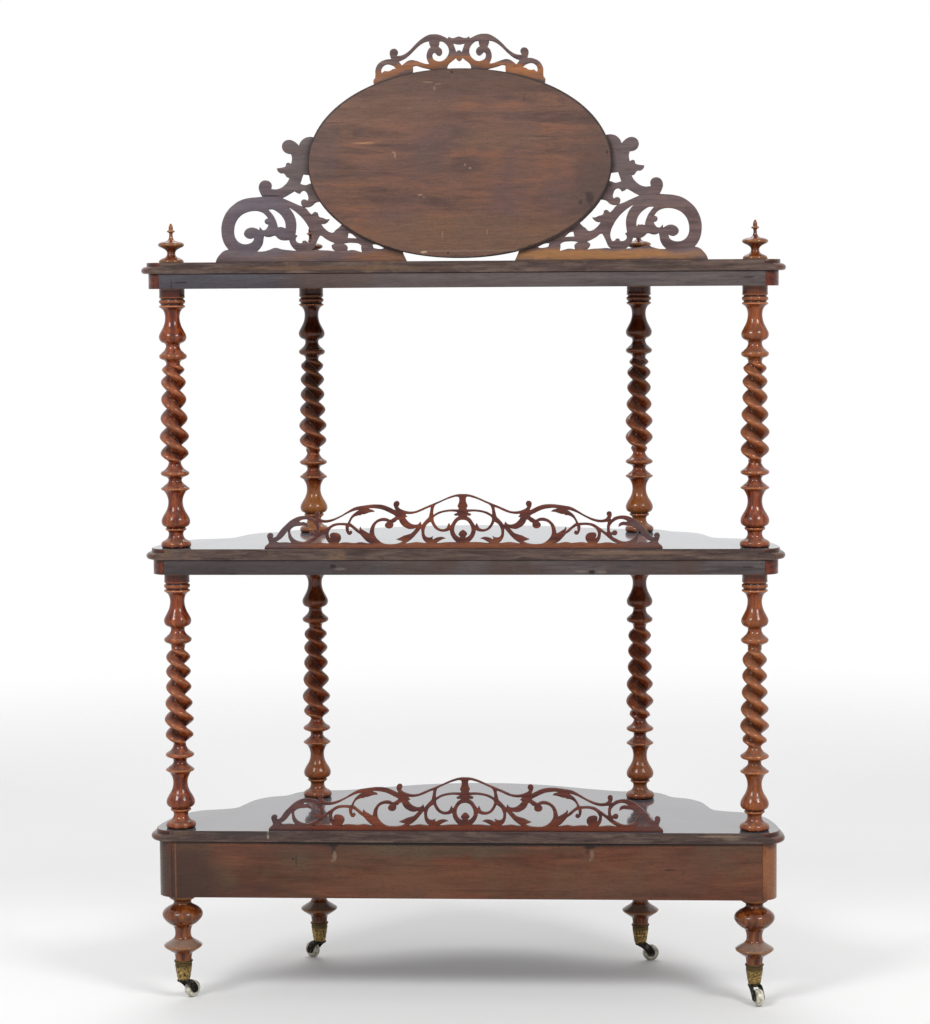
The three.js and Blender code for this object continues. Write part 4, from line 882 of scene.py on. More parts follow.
# %% [markdown]
# A post's middle third carries two ridges that climb round it side by side. Here the
# turner's work ends and the carver's begins: the blank is left as a plain cylinder, the
# hollows are sawn and rasped along a helix, and the ridges are rounded over. A twisted
# bar with a two-lobed section would do for the middle, but it wouldn't run into the
# turned ends. So the blank is spun with close rings, and each of its points is pushed
# inwards by what the rasp takes away there.

# %% The post's profile, read up from its foot
POST_FOOT = [
    (0, 20.4), (1, 21.5), (3, 22.4), (5.4, 22.6), (7.8, 21.9), (9.8, 20.1), (11.2, 17.4),
    (12.6, 14.9), (14.6, 12.9), (17.3, 11.5), (20.3, 10.9), (23.3, 11.4), (25.4, 12.8),
    (26.6, 15.0), (27.9, 15.6), (29.4, 15.2), (30.4, 14.2), (31.4, 15.6), (33.2, 18.8),
    (35.4, 20.6), (38, 21.4), (40.6, 21.5), (43.6, 20.9), (49.2, 18.2), (55.2, 14.5),
    (61.2, 12.0), (66, 11.1), (70.2, 10.9), (76.1, 11.8), (81.6, 14.2), (84.8, 16.4),
    (86.6, 18.8), (88, 21.2), (89.7, 21.6), (91.1, 20.0), (92.5, 17.8), (93.9, 16.6),
    (95.1, 14.8), (96.9, 12.6), (99.2, 10.7), (101.8, 9.9), (104.4, 10.6), (106.4, 12.8),
    (107.8, 16.4), (109.4, 19.8), (111.3, 21.5), (113.3, 21.4), (115, 19.8), (116.6, 17.2),
    (118.8, 14.2), (121.6, 11.9), (124.2, 10.4), (127, 9.8),
]
TWIST = [  # height, ridge, hollow
    (127, 9.8, 9.4), (130, 12.6, 9.0), (134, 17.6, 8.4), (139.5, 20.8, 7.9), (152, 21.7, 7.7),
    (166, 22.1, 7.7), (193.7, 20.4, 7.7), (221.5, 18.9, 7.7), (247.6, 18.7, 7.7),
    (262, 18.3, 7.9), (268.6, 17.2, 8.4), (272, 14.4, 9.2), (275, 11.2, 10.0), (276.7, 10.4, 10.2),
]
POST_HEAD = [
    (276.7, 10.4), (279.6, 11.0), (281.8, 13.4), (283.4, 17.4), (285, 19.6), (287, 20.6),
    (289.2, 20.6), (291.2, 19.2), (292.6, 17.2), (294, 16.0), (295.6, 14.0), (297.8, 12.2),
    (300.4, 10.9), (303.2, 10.3), (305.8, 10.8), (307.6, 13.2), (309.2, 16.6), (311.4, 18.9),
    (314.2, 20.2), (316.9, 20.6), (320.3, 19.9), (326.3, 16.9), (332.5, 13.7), (338.6, 11.7),
    (344.6, 10.9), (349.6, 11.1), (353.6, 12.1), (356.8, 13.7), (359, 15.8), (360.9, 18.6),
    (362.1, 19.8), (363.4, 19.4), (364.4, 17.2), (365.7, 17), (366.9, 18.5), (368.3, 19.5),
    (370.2, 19.7), (371.8, 19.0), (372.8, 17.2), (374, 17.2), (375, 18.8), (376.6, 19.1),
    (379.4, 18.9), (388.5, 18.9),
]
BLANK_RADIUS = 20
blank = [(z, BLANK_RADIUS) for z in range(129, 276, 2)]  # a ring of points every 2 mm
post = turned("post", POST_FOOT + blank + POST_HEAD, sides=64, step=1.5)
print("post before its twist:", len(post.data.polygons), "faces")


def between(table, at, column):
    """A value from a table whose first column rises, read between its rows."""
    for low, high in zip(table, table[1:]):
        if at <= high[0]:
            share = (at - low[0]) / (high[0] - low[0])
            return low[column] + (high[column] - low[column]) * share
    return table[-1][column]


# %% Carve a twist
def carve(piece, lobes, facing):
    """Ridges pass the two sides of a post, as seen along a direction, at each lobe's height."""
    pace = [(z, k / 2) for k, z in enumerate(lobes)]
    first, last = lobes[1] - lobes[0], lobes[-1] - lobes[-2]
    pace = [(lobes[0] - 3 * first, -1.5)] + pace + [(lobes[-1] + 3 * last, pace[-1][1] + 1.5)]
    for vertex in piece.data.vertices:
        x, y, z = (value / MM for value in vertex.co)
        if not TWIST[0][0] < z < TWIST[-1][0]:
            continue
        # The turn is averaged over 16 mm, so that the pace changes without a kink.
        turns = sum(between(pace, z + shift, 1) for shift in (-8, -4, 0, 4, 8)) / 5
        angle = math.atan2(y, x) - facing - math.pi / 2 + 2 * math.pi * turns
        ridge, hollow = between(TWIST, z, 1), between(TWIST, z, 2)
        radius = hollow + (ridge - hollow) * abs(math.cos(angle)) ** 1.5
        scale = radius / max(math.hypot(x, y), 1e-6)
        vertex.co.x *= scale
        vertex.co.y *= scale


# %% Eight posts
# The carver paced each post by eye. These are the heights of its ridges above its foot,
# where they stand out furthest to the sides in the photograph.
LOBES = {
    "lower_rear_left": (133.5, 158, 184, 209.5, 233.5, 258.4),
    "lower_rear_right": (142, 166.3, 191.2, 216, 239.3, 261.7),
    "lower_front_left": (129.5, 156.2, 184.2, 211.7, 237.8, 262.4),
    "lower_front_right": (137.7, 162.7, 191.2, 218.3, 242.2, 265),
    "upper_rear_left": (145.6, 172.2, 198.4, 223.4, 247.3, 267.9),
    "upper_rear_right": (141.7, 167.7, 195.2, 223.6, 249.8, 269.8),
    "upper_front_left": (150.5, 176.8, 203.3, 229.2, 253.8, 273.4),
    "upper_front_right": (146.9, 170.9, 196.2, 220.5, 244, 267),
}
for tier, z in (("lower", SHELF_TOP["bottom"]), ("upper", SHELF_TOP["middle"])):
    for place, (x, y) in POSTS.items():
        piece = copy_of(post, f"twist_post_{tier}_{place}")
        carve(piece, LOBES[f"{tier}_{place}"],
              math.atan2(CAMERA_PLACE.y - y, CAMERA_PLACE.x - x))
        piece.data.transform(Matrix.Translation(Vector((x, y, z)) * MM))
        dress(piece, "cabinet", "turned_walnut", turned_walnut, f"post_{tier}_{place}", angle=60)
bpy.data.objects.remove(post)

# %% Finials and legs
FINIAL = [
    (0, 18.3), (1.8, 18.5), (4.1, 17.4), (6.4, 13.6), (8.6, 8.8), (10.8, 6.8), (13.7, 6.1),
    (16.7, 6.7), (19.6, 9.4), (22, 14.0), (23.9, 17.8), (26.3, 19.4), (28.5, 18.6), (30.7, 14),
    (32.2, 7.4), (34.2, 4.4), (37.4, 3.1), (41.8, 2.6), (44.4, 3.2), (45.4, 5.2), (46.6, 6.1),
    (47.8, 5.2), (48.8, 3.4), (50.4, 3.3), (53, 3.1), (55.4, 2.3), (57.4, 1.3), (58.4, 0.3),
]
LEG = [
    (163.2, 20.5), (161.5, 21), (159, 20.6), (157, 18.6), (155.4, 15.8), (153.6, 13.8),
    (151, 13.2), (148.6, 14.2), (146, 18), (143.6, 22.4), (141.3, 25.6), (138.6, 28.4),
    (135.4, 30.2), (132.1, 30.7), (128.8, 29.9), (125.6, 28), (122.4, 25.2), (119, 21.5),
    (116.6, 17.6), (114.4, 15), (111, 13.2), (107, 12.2), (102.9, 11.9), (99, 12.4),
    (96, 13.6), (93.6, 16), (91.2, 19.6), (88.6, 23.8), (86, 27.6), (84.2, 29.1), (82.4, 28.4),
    (80, 25.6), (77.6, 22.2), (75.4, 19), (73.6, 16), (72, 14), (69.6, 13.2), (66, 12.6),
    (62.6, 12.4), (60.9, 12.3),
]
finial = turned("finial", FINIAL, sides=48, step=1.0)
leg = turned("leg", list(reversed(LEG)), sides=64, step=1.5)
combine(leg, turned("pin", [(42.2, 8.7), (43, 9.5), (50, 9.5), (70, 9.5)], sides=64, step=8),
        "UNION")
for place, (x, y) in POSTS.items():
    piece = copy_of(finial, f"turned_finial_{place}", (x, y, SHELF_TOP["top"]))
    dress(piece, "cabinet", "turned_walnut", worn_walnut, f"finial_{place}", angle=60)
    piece = copy_of(leg, f"turned_leg_{place}", (x, y, 0))
    dress(piece, "cabinet", "turned_walnut", worn_walnut, f"leg_{place}", angle=60)
bpy.data.objects.remove(finial)
bpy.data.objects.remove(leg)

# %% [markdown]
# ## Castors
# Each leg ends in a brass cup, and in the cup turns the pin of a small horn that holds a
# glazed wheel behind the pin, so that the wheel trails. Cup, axle and wheel are lathe
# work. The horn was cast: a round crown with two cheeks that sweep back to the axle. It is
# put together from a turned crown and two cheeks cut from plate, and joined into one
# casting by Booleans. All of it is made once, with the wheel trailing along +X, and each
# copy is turned the way its castor happens to stand.

# %% Cup
CUP = [
    (30.2, 8.6), (31.5, 9.4), (33, 9.8), (36, 10.4), (39, 10.9), (42, 11.2), (43.4, 11.9),
    (44.8, 11.6), (46, 12), (49, 12.4), (52, 12.8), (55, 12.9), (57, 12.8), (58, 13.4),
    (58.9, 14.2), (59.8, 14.3), (60.6, 13.8), (60.8, 13.2),
]
cup = turned("cup", CUP, sides=56, step=0.8)
combine(cup, turned("socket", [(42.05, 9.8), (50, 9.8), (70, 9.8)], sides=56, step=9),
        "DIFFERENCE")
combine(cup, turned("bore", [(20, 3.5), (30, 3.5), (41, 3.5)], sides=32, step=9), "DIFFERENCE")
print("cup faces:", len(cup.data.polygons))

# %% Horn: a turned crown, a bridge and two cheeks
TRAIL, AXLE_Z = 17, 13
on_axle = Matrix.Translation((TRAIL * MM, 0, AXLE_Z * MM)) @ Matrix.Rotation(math.pi / 2, 4, "X")
horn = turned("horn", [(26.6, 7.2), (27.2, 8), (28.6, 8.3), (29.4, 8), (29.9, 7), (29.9, 3.1),
                       (31, 3), (39, 3), (39.3, 2.7)], sides=40, step=0.6)
CHEEK = [
    (-5.6, 29.7), (-6.6, 28.4), (-5.6, 26.6), (-1.5, 24.2), (3.4, 20.6), (7.4, 16.6), (10, 12.4),
    (11.3, 9.9), (13.2, 8.3), (17, 7.9), (20.6, 9.0), (22, 12.2), (21.4, 16), (19.4, 20),
    (16.4, 24), (12.6, 27.6), (9, 29.7), (2, 29.8),
]
CHEEK_Y, CHEEK_THICKNESS = 6.05, 2.4
cheek_line = smooth(CHEEK, 1.2, closed=True)
for sign in (-1, 1):
    cheek = draw("cheek", [(p.x, CHEEK_Y * sign, p.y) for p in cheek_line], face=True)
    pick(cheek, everything)
    bpy.ops.mesh.extrude_region_move(
        TRANSFORM_OT_translate={"value": (0, CHEEK_THICKNESS * sign * MM, 0)})
    bpy.ops.object.mode_set(mode="OBJECT")
    combine(horn, soften(close_up(cheek, 0.001), 0.5), "UNION")
combine(horn, plank("bridge", (-4, -7, 26.7), (8.5, 7, 29.8), 0.4), "UNION")
hole = turned("hole", [(-12, 2.3), (0, 2.3), (12, 2.3)], sides=28, step=13)
hole.data.transform(on_axle)
combine(horn, hole, "DIFFERENCE")
print("horn faces:", len(horn.data.polygons))

# %% Axle and wheel
axle = turned("axle", [(-8.5, 2), (0, 2), (8.5, 2)], sides=24, step=9)
for sign in (-1, 1):
    head = [(sign * 8.5, 3.2), (sign * 9.0, 2.8), (sign * 9.4, 1.6), (sign * 9.5, 0.6)]
    combine(axle, turned("head", head, sides=24, step=0.3), "UNION")
WHEEL = [
    (-5.5, 5.2), (-5.5, 8.6), (-5.3, 10.4), (-4.6, 11.9), (-3.2, 12.8), (-1.5, 13), (0, 13),
    (1.5, 13), (3.2, 12.8), (4.6, 11.9), (5.3, 10.4), (5.5, 8.6), (5.5, 5.2),
]
wheel = turned("wheel", WHEEL, sides=56, step=0.8)
combine(wheel, turned("bore", [(-8, 2.5), (0, 2.5), (8, 2.5)], sides=32, step=9), "DIFFERENCE")
for obj in (axle, wheel):
    obj.data.transform(on_axle)
print("axle and wheel faces:", len(axle.data.polygons), len(wheel.data.polygons))

# %% Four castors, each trailing its own way
# As parts of a turn from +X, as the photograph shows them.
TRAIL_TURNS = {"rear_left": 0.305, "rear_right": 0.645, "front_left": 0.548, "front_right": 0.885}
for place, (x, y) in POSTS.items():
    for source, name, solid, body, slot, material in (
            (cup, "brass_cup", "castor_cup", "cabinet", "brass", old_brass),
            (horn, "brass_horn", "castor_fork", f"castor_{place}", "dark_metal", black_metal),
            (axle, "brass_axle", "castor_axle", f"castor_{place}", "dark_metal", black_metal),
            (wheel, "glazed_wheel", "castor_wheel", f"wheel_{place}", "ceramic", glaze)):
        piece = copy_of(source, f"{name}_{place}", (x, y, 0), TRAIL_TURNS[place] * 2 * math.pi)
        dress(piece, body, slot, material, f"{solid}_{place}", angle=40)
for source in (cup, horn, axle, wheel):
    bpy.data.objects.remove(source)

# %% [markdown]
# ## The oval mirror's back and frame
# From behind, the mirror is a plain oval board a little over a centimetre from the frets.
# It hides the plate and its moulded frame, which stand on the front. The oval isn't quite
# an ellipse: its ends are slightly fuller, which a power a little above two gives. Board
# and plate are inset faces. The frame is one section carried round the oval: a line is
# drawn for each corner of the section, and all the lines are bridged into a closed ring.

# %% Oval lines
OVAL_HALF_WIDTH, OVAL_HALF_HEIGHT, OVAL_Z, OVAL_POWER = 224.4, 138.8, 1264.0, 2.06
OVAL_BACK_Y, OVAL_FRONT_Y = 198.8, 190.8


def oval_point(a, inset):
    """The (x, z) point at an angle round the oval, moved in from its edge."""
    across, up = (math.copysign(abs(v) ** (2 / OVAL_POWER), v) for v in (math.cos(a), math.sin(a)))
    return (OVAL_HALF_WIDTH - inset) * across, OVAL_Z + (OVAL_HALF_HEIGHT - inset) * up


def oval(inset, y, count=160):
    """Points round the oval, moved in from its edge, on the plane at depth y."""
    points = [oval_point(2 * math.pi * i / count, inset) for i in range(count)]
    return [(x, y, z) for x, z in points]


def oval_board(name, inset, rear, thickness, rounding):
    """An oval board with rounded edges, and its rear face at a depth."""
    obj = draw(name, oval(inset, rear), face=True)
    pick(obj, everything)
    bpy.ops.mesh.extrude_region_move(TRANSFORM_OT_translate={"value": (0, -thickness * MM, 0)})
    bpy.ops.object.mode_set(mode="OBJECT")
    return soften(close_up(obj, 0.001), rounding, segments=3)


backboard = oval_board("oval_backboard", 0, OVAL_BACK_Y, OVAL_BACK_Y - OVAL_FRONT_Y, 1.6)
dress(backboard, "cabinet", "raw_walnut", oval_wood, "mirror_backboard")
PLATE_INSET, PLATE_THICKNESS = 27.3, 5
plate = oval_board("silvered_plate", PLATE_INSET, OVAL_FRONT_Y, PLATE_THICKNESS, 0.4)
dress(plate, "cabinet", "mirror", silvering, "mirror_plate")

# %% The moulded frame
# The section: how far in from the oval's edge, and the depth. Back to front, then inwards.
FRAME_SECTION = [
    (27, 190.8), (14, 190.8), (14, 183.8), (0.3, 183.8), (0.3, 176.5), (1.2, 174.2), (3.4, 172.6),
    (5.0, 170.2), (5.6, 166.6), (7.6, 162.8), (10.6, 160), (14, 158.8), (17.4, 159.8), (19.6, 162),
    (20.8, 165), (23.6, 166.6), (26.6, 166.4), (28.6, 168.2), (31.0, 170.8), (33.2, 172.4),
    (34, 174), (34, 185.8), (27, 185.8),
]
lines = [draw("frame_line", oval(inset, y, 144)) for inset, y in FRAME_SECTION]
bpy.ops.object.select_all(action="DESELECT")
for line in lines:
    line.select_set(True)
bpy.context.view_layer.objects.active = lines[0]
bpy.ops.object.join()
frame_ring = lines[0]
frame_ring.name = frame_ring.data.name = "moulded_mirror_frame"
pick(frame_ring, everything, "EDGE")
bpy.ops.mesh.bridge_edge_loops(type="CLOSED")
bpy.ops.object.mode_set(mode="OBJECT")
close_up(frame_ring, 0.001)
dress(frame_ring, "cabinet", "polished_walnut", frame_polish, "mirror_frame", angle=40)

# %% [markdown]
# ## Fretwork
# The crest, the two brackets and the two back galleries are thin boards cut out with a
# fret saw, in scrolls and leaves. Each board could be cut by Booleans, hole by hole, but a
# curve object does in one go what the saw does: its splines are the saw lines, the
# outermost makes the board and those inside it the holes, its extrusion is the thickness
# and its small bevel the sandpapered edge. The lines were read from the
# photograph, for one half of each board, and the other half is their mirror image. They
# are given in thousandths: across in those of the half width, up in those of the height.

# %% Saw lines of the back galleries
FRET_EDGE = [
    (0, 1006), (26, 1001), (55, 974), (84, 932), (113, 884), (142, 840), (192, 765), (218, 723),
    (241, 691), (265, 683), (288, 694), (307, 718), (320, 744), (327, 773), (322, 802), (320, 836),
    (324, 868), (333, 880), (343, 868), (349, 834), (348, 792), (343, 744), (338, 707), (346, 715),
    (364, 749), (387, 786), (411, 809), (437, 816), (463, 813), (486, 803), (513, 789), (544, 767),
    (567, 727), (590, 676), (613, 624), (637, 582), (660, 550), (683, 531), (704, 529), (721, 550),
    (728, 579), (731, 600), (726, 631), (728, 668), (739, 684), (749, 668), (752, 631), (751, 589),
    (747, 547), (750, 531), (762, 568), (782, 594), (803, 605), (823, 600), (841, 584), (858, 557),
    (875, 520), (890, 473), (904, 425), (919, 372), (931, 319), (941, 266), (950, 224), (960, 208),
    (969, 203), (964, 245), (969, 277), (979, 291), (989, 277), (994, 240), (992, 198), (988, 155),
    (986, 113), (993, 81), (1002, 55), (1007, 23), (1008, 0),
]
FRET_EYE = [
    (0, 532), (20, 516), (34, 461), (43, 384), (42, 304), (31, 238), (12, 196), (15, 228),
    (23, 262), (15, 312), (0, 349),
]
FRET_HOLES = [
    [(950, 129), (931, 166), (913, 224), (899, 288), (890, 335), (887, 272), (885, 208),
     (878, 150), (870, 104), (887, 113), (910, 118), (934, 113)],
    [(877, 335), (865, 386), (849, 414), (826, 423), (805, 428), (794, 411), (785, 399),
     (789, 452), (800, 481), (811, 492), (826, 489), (831, 502), (817, 531), (800, 543),
     (782, 534), (765, 502), (752, 460), (744, 409), (742, 356), (744, 303), (752, 293),
     (756, 316), (768, 333), (778, 314), (780, 282), (775, 251), (766, 242), (755, 251),
     (752, 232), (759, 208), (776, 174), (794, 141), (811, 126), (829, 131), (846, 152),
     (864, 198), (874, 261)],
    [(785, 97), (765, 118), (742, 176), (718, 251), (699, 307), (697, 251), (694, 187), (685, 129),
     (677, 94), (695, 97), (718, 108), (744, 107), (768, 94)],
    [(731, 492), (715, 485), (698, 481), (677, 491), (654, 517), (631, 557), (605, 608),
     (579, 658), (549, 700), (525, 719), (542, 676), (561, 616), (574, 541), (584, 471),
     (613, 475), (637, 471), (660, 452), (680, 409), (701, 356), (718, 309), (728, 291),
     (728, 356), (728, 420), (731, 462)],
    [(680, 312), (672, 362), (657, 404), (637, 428), (613, 434), (594, 428), (594, 367),
     (590, 309), (581, 261), (570, 254), (561, 288), (565, 327), (574, 325), (578, 309),
     (579, 356), (577, 414), (561, 383), (538, 309), (521, 267), (504, 196), (486, 132), (467, 94),
     (483, 97), (504, 111), (523, 118), (549, 102), (579, 110), (608, 113), (633, 94), (625, 136),
     (619, 187), (622, 245), (634, 282), (651, 295), (667, 288), (674, 261), (673, 219),
     (667, 185), (676, 203), (681, 245), (682, 282)],
    [(572, 471), (565, 531), (552, 582), (535, 610), (514, 619), (516, 635), (498, 638),
     (481, 659), (463, 677), (447, 680), (453, 707), (466, 723), (480, 739), (463, 749),
     (437, 744), (411, 728), (387, 696), (364, 654), (346, 620), (340, 601), (346, 578),
     (358, 553), (368, 532), (384, 558), (405, 567), (425, 548), (446, 500), (463, 421),
     (470, 346), (474, 278), (478, 283), (498, 325), (513, 362), (520, 404), (524, 367),
     (519, 309), (535, 365), (552, 417), (565, 454)],
    [(450, 325), (448, 389), (438, 461), (422, 498), (405, 510), (387, 505), (382, 497),
     (392, 461), (394, 421), (386, 386), (371, 373), (357, 394), (352, 437), (354, 474),
     (341, 495), (332, 527), (323, 537), (317, 484), (306, 431), (289, 389), (269, 362),
     (237, 378), (247, 334), (262, 283), (279, 260), (300, 238), (317, 205), (338, 172),
     (320, 150), (305, 139), (317, 111), (341, 87), (376, 81), (405, 97), (428, 153), (443, 219),
     (449, 272)],
    [(289, 641), (265, 640), (236, 659), (206, 700), (177, 749), (161, 768), (164, 696),
     (168, 633), (171, 590), (186, 532), (201, 470), (209, 431), (212, 474), (216, 498),
     (221, 470), (230, 447), (244, 442), (262, 460), (276, 497), (288, 548), (292, 577),
     (280, 588), (288, 617)],
    [(295, 92), (276, 132), (253, 198), (230, 291), (211, 376), (209, 304), (207, 230), (198, 156),
     (181, 101), (201, 105), (236, 118), (265, 103)],
    [(161, 497), (152, 431), (139, 368), (119, 325), (96, 312), (72, 331), (66, 344), (63, 283),
     (54, 209), (40, 145), (31, 115), (55, 118), (84, 116), (113, 105), (136, 99), (122, 134),
     (101, 175), (87, 187), (104, 212), (122, 212), (141, 190), (152, 166), (154, 193), (150, 232),
     (161, 211), (177, 205), (190, 235), (195, 304), (191, 378), (180, 450)],
    [(147, 569), (128, 625), (104, 662), (78, 680), (55, 686), (29, 678), (26, 659), (37, 646),
     (44, 631), (37, 608), (23, 612), (21, 594), (37, 556), (48, 505), (57, 453), (64, 415),
     (67, 453), (72, 470), (77, 421), (84, 380), (101, 357), (122, 378), (136, 431), (145, 493),
     (148, 532)],
    [(139, 800), (113, 852), (84, 901), (55, 938), (26, 959), (18, 949), (16, 898), (20, 834),
     (25, 786), (20, 747), (22, 720), (43, 722), (72, 717), (101, 700), (128, 668), (149, 622),
     (149, 686), (146, 749)],
]
print("holes in a gallery:", 1 + 2 * len(FRET_HOLES))

# %% Saw lines of the crest: thousandths of the oval's half width and half height
CREST_EDGE = [
    (0, 1337), (16, 1331), (30, 1323), (49, 1323), (67, 1337), (73, 1316), (99, 1338), (134, 1359),
    (165, 1364), (196, 1359), (227, 1335), (258, 1301), (289, 1255), (317, 1208), (341, 1175),
    (369, 1150), (393, 1141), (412, 1141), (404, 1164), (404, 1189), (414, 1211), (431, 1216),
    (449, 1202), (456, 1175), (454, 1142), (447, 1108), (469, 1106), (497, 1095), (525, 1070),
    (544, 1031), (552, 987), (552, 948), (554, 914), (566, 881),
]
CREST_NOTCH = [
    (305, 965), (304, 1003), (305, 1028), (282, 1034), (258, 1022), (231, 1009), (203, 999),
    (189, 991),
]
CREST_ARCH = [
    (78, 997), (77, 1025), (64, 1058), (37, 1092), (21, 1115), (14, 1092), (0, 1078),
]
CREST_EYE = [
    (0, 1254), (16, 1256), (28, 1261), (39, 1265), (34, 1247), (26, 1211), (18, 1173), (9, 1189),
    (0, 1193),
]
CREST_HOLES = [
    [(397, 1083), (369, 1100), (341, 1129), (317, 1163), (289, 1208), (258, 1252), (227, 1280),
     (198, 1292), (195, 1261), (186, 1228), (199, 1209), (208, 1180), (214, 1136), (209, 1092),
     (197, 1052), (220, 1054), (251, 1070), (286, 1089), (314, 1096), (341, 1083), (358, 1064),
     (376, 1040), (386, 1058)],
    [(129, 1288), (111, 1286), (89, 1262), (72, 1225), (66, 1180), (75, 1136), (96, 1098),
     (123, 1079), (151, 1085), (171, 1108), (176, 1136), (171, 1163), (159, 1170), (152, 1155),
     (137, 1137), (123, 1140), (112, 1169), (115, 1202), (127, 1224), (136, 1230), (131, 1258)],
    [(512, 959), (515, 987), (507, 1020), (490, 1045), (469, 1052), (445, 1042), (424, 1021),
     (418, 1007), (438, 1002), (452, 987), (473, 980), (490, 983), (502, 971)],
]
print("holes in the crest:", 1 + 2 * len(CREST_HOLES))

# %% Saw lines of the brackets: the same thousandths, but up from the shelf
BRACKET_EDGE = [
    (1629, 0), (1620, 40), (1600, 82), (1573, 121), (1542, 136), (1562, 178), (1579, 239),
    (1587, 317), (1585, 395), (1571, 473), (1545, 547), (1507, 608), (1458, 658), (1405, 682),
    (1347, 691), (1312, 695), (1327, 743), (1334, 789), (1327, 835), (1307, 864), (1285, 869),
    (1261, 853), (1250, 817), (1254, 778), (1223, 773), (1192, 784), (1161, 817), (1141, 853),
    (1129, 891), (1145, 899), (1157, 924), (1165, 938), (1188, 942), (1205, 963), (1213, 995),
    (1196, 999), (1174, 1004), (1153, 1018), (1149, 1045), (1134, 1055), (1117, 1040),
    (1112, 1077), (1111, 1112), (1117, 1144), (1139, 1149), (1161, 1169), (1175, 1208),
    (1173, 1251), (1157, 1283), (1128, 1296), (1101, 1284), (1079, 1258), (1064, 1232),
    (1054, 1268), (1032, 1305), (1001, 1324), (966, 1322),
]
BRACKET_TOE = [(382, 88), (370, 43), (358, 0)]
BRACKET_HOLES = [
    [(1040, 927), (999, 919), (975, 910), (961, 832), (992, 832), (1020, 816), (1060, 830),
     (1049, 883)],
    [(1179, 679), (1152, 700), (1121, 730), (1097, 751), (1081, 732), (1063, 722), (1050, 749),
     (1032, 753), (1017, 736), (1009, 707), (1005, 672), (1012, 650), (1032, 665), (1051, 650),
     (1054, 622), (1046, 590), (1072, 604), (1121, 640), (1157, 665)],
    [(1034, 580), (1006, 580), (984, 594), (961, 626), (939, 636), (911, 636), (875, 553),
     (851, 496), (807, 419), (787, 394), (803, 365), (827, 336), (843, 311), (867, 314),
     (895, 343), (919, 387), (923, 400), (903, 401), (883, 419), (867, 454), (887, 451),
     (911, 467), (937, 480), (943, 496), (945, 518), (961, 531), (974, 521), (986, 502),
     (1006, 534), (1026, 572)],
    [(1505, 331), (1500, 391), (1483, 452), (1454, 501), (1418, 530), (1374, 544), (1334, 538),
     (1303, 516), (1282, 480), (1276, 466), (1294, 452), (1298, 427), (1287, 403), (1273, 398),
     (1282, 366), (1296, 344), (1312, 339), (1325, 359), (1332, 373), (1335, 338), (1356, 359),
     (1383, 370), (1412, 359), (1431, 331), (1437, 299), (1425, 266), (1401, 248), (1383, 253),
     (1370, 263), (1376, 228), (1396, 203), (1431, 192), (1467, 207), (1491, 242), (1503, 288)],
    [(1274, 558), (1245, 558), (1214, 533), (1185, 491), (1165, 437), (1159, 388), (1160, 354),
     (1179, 370), (1201, 373), (1213, 366), (1219, 409), (1230, 459), (1250, 512)],
    [(1141, 583), (1112, 555), (1072, 505), (1037, 445), (1008, 373), (990, 302), (988, 246),
     (999, 200), (1014, 203), (1028, 226), (1046, 224), (1052, 200), (1077, 203), (1094, 228),
     (1094, 253), (1082, 278), (1097, 292), (1092, 345), (1090, 409), (1101, 487), (1119, 540)],
    [(1306, 281), (1290, 268), (1267, 266), (1230, 278), (1210, 249), (1183, 230), (1137, 232),
     (1128, 189), (1110, 146), (1090, 119), (1134, 125), (1188, 136), (1232, 152), (1267, 132),
     (1312, 114), (1354, 114), (1332, 150), (1316, 196), (1310, 246)],
    [(935, 276), (923, 276), (895, 244), (863, 215), (835, 196), (855, 174), (853, 148),
     (835, 112), (875, 120), (923, 123), (963, 127), (990, 121), (974, 145), (963, 183),
     (947, 241)],
    [(744, 301), (724, 295), (688, 247), (750, 252)],
    [(775, 190), (748, 198), (712, 198), (676, 190), (658, 171), (659, 145), (654, 99), (684, 112),
     (712, 123), (755, 117), (750, 152), (758, 174)],
    [(586, 180), (557, 177), (509, 142), (521, 134), (557, 136), (579, 145)],
]
print("holes in a bracket:", len(BRACKET_HOLES))

# %% Cut a board with a fret saw
FRET_THICKNESS, SANDED = 7, 0.6


def fretted(name, loops, rear):
    """A board cut out along loops of (x, z) points, with its rear face at a depth."""
    saw_lines = bpy.data.curves.new(name, "CURVE")
    saw_lines.dimensions = "2D"
    saw_lines.fill_mode = "BOTH"
    saw_lines.extrude = (FRET_THICKNESS / 2 - SANDED) * MM
    saw_lines.bevel_depth = SANDED * MM
    saw_lines.offset = -SANDED * MM
    saw_lines.bevel_resolution = 1
    saw_lines.resolution_u = 4
    for loop in loops:
        points = [Vector(p) for p in loop]
        spline = saw_lines.splines.new("BEZIER")
        spline.use_cyclic_u = True
        spline.bezier_points.add(len(points) - 1)
        for i, (point, place) in enumerate(zip(spline.bezier_points, points)):
            before, after = place - points[i - 1], points[(i + 1) % len(points)] - place
            # A bend of more than 54 degrees is a corner, and the saw turns on the spot.
            sharp = before.length < 1e-4 or after.length < 1e-4 or before.angle(after) > 0.95
            point.co = (place.x * MM, place.y * MM, 0)
            point.handle_left_type = point.handle_right_type = "VECTOR" if sharp else "AUTO"
    obj = bpy.data.objects.new(name, saw_lines)
    bpy.context.scene.collection.objects.link(obj)
    only(obj)
    bpy.ops.object.convert(target="MESH")
    obj = bpy.context.object
    obj.name = obj.data.name = name
    obj.data.transform(Matrix.Translation((0, (rear - FRET_THICKNESS / 2) * MM, 0))
                       @ Matrix.Rotation(math.pi / 2, 4, "X"))
    return close_up(obj, 0.002)


def in_place(shares, half_width, height, z):
    """Points given in thousandths, put at their size, up from a height z."""
    return [(across / 1000 * half_width, z + up / 1000 * height) for across, up in shares]


def flipped(points):
    return [(-x, z) for x, z in reversed(points)]


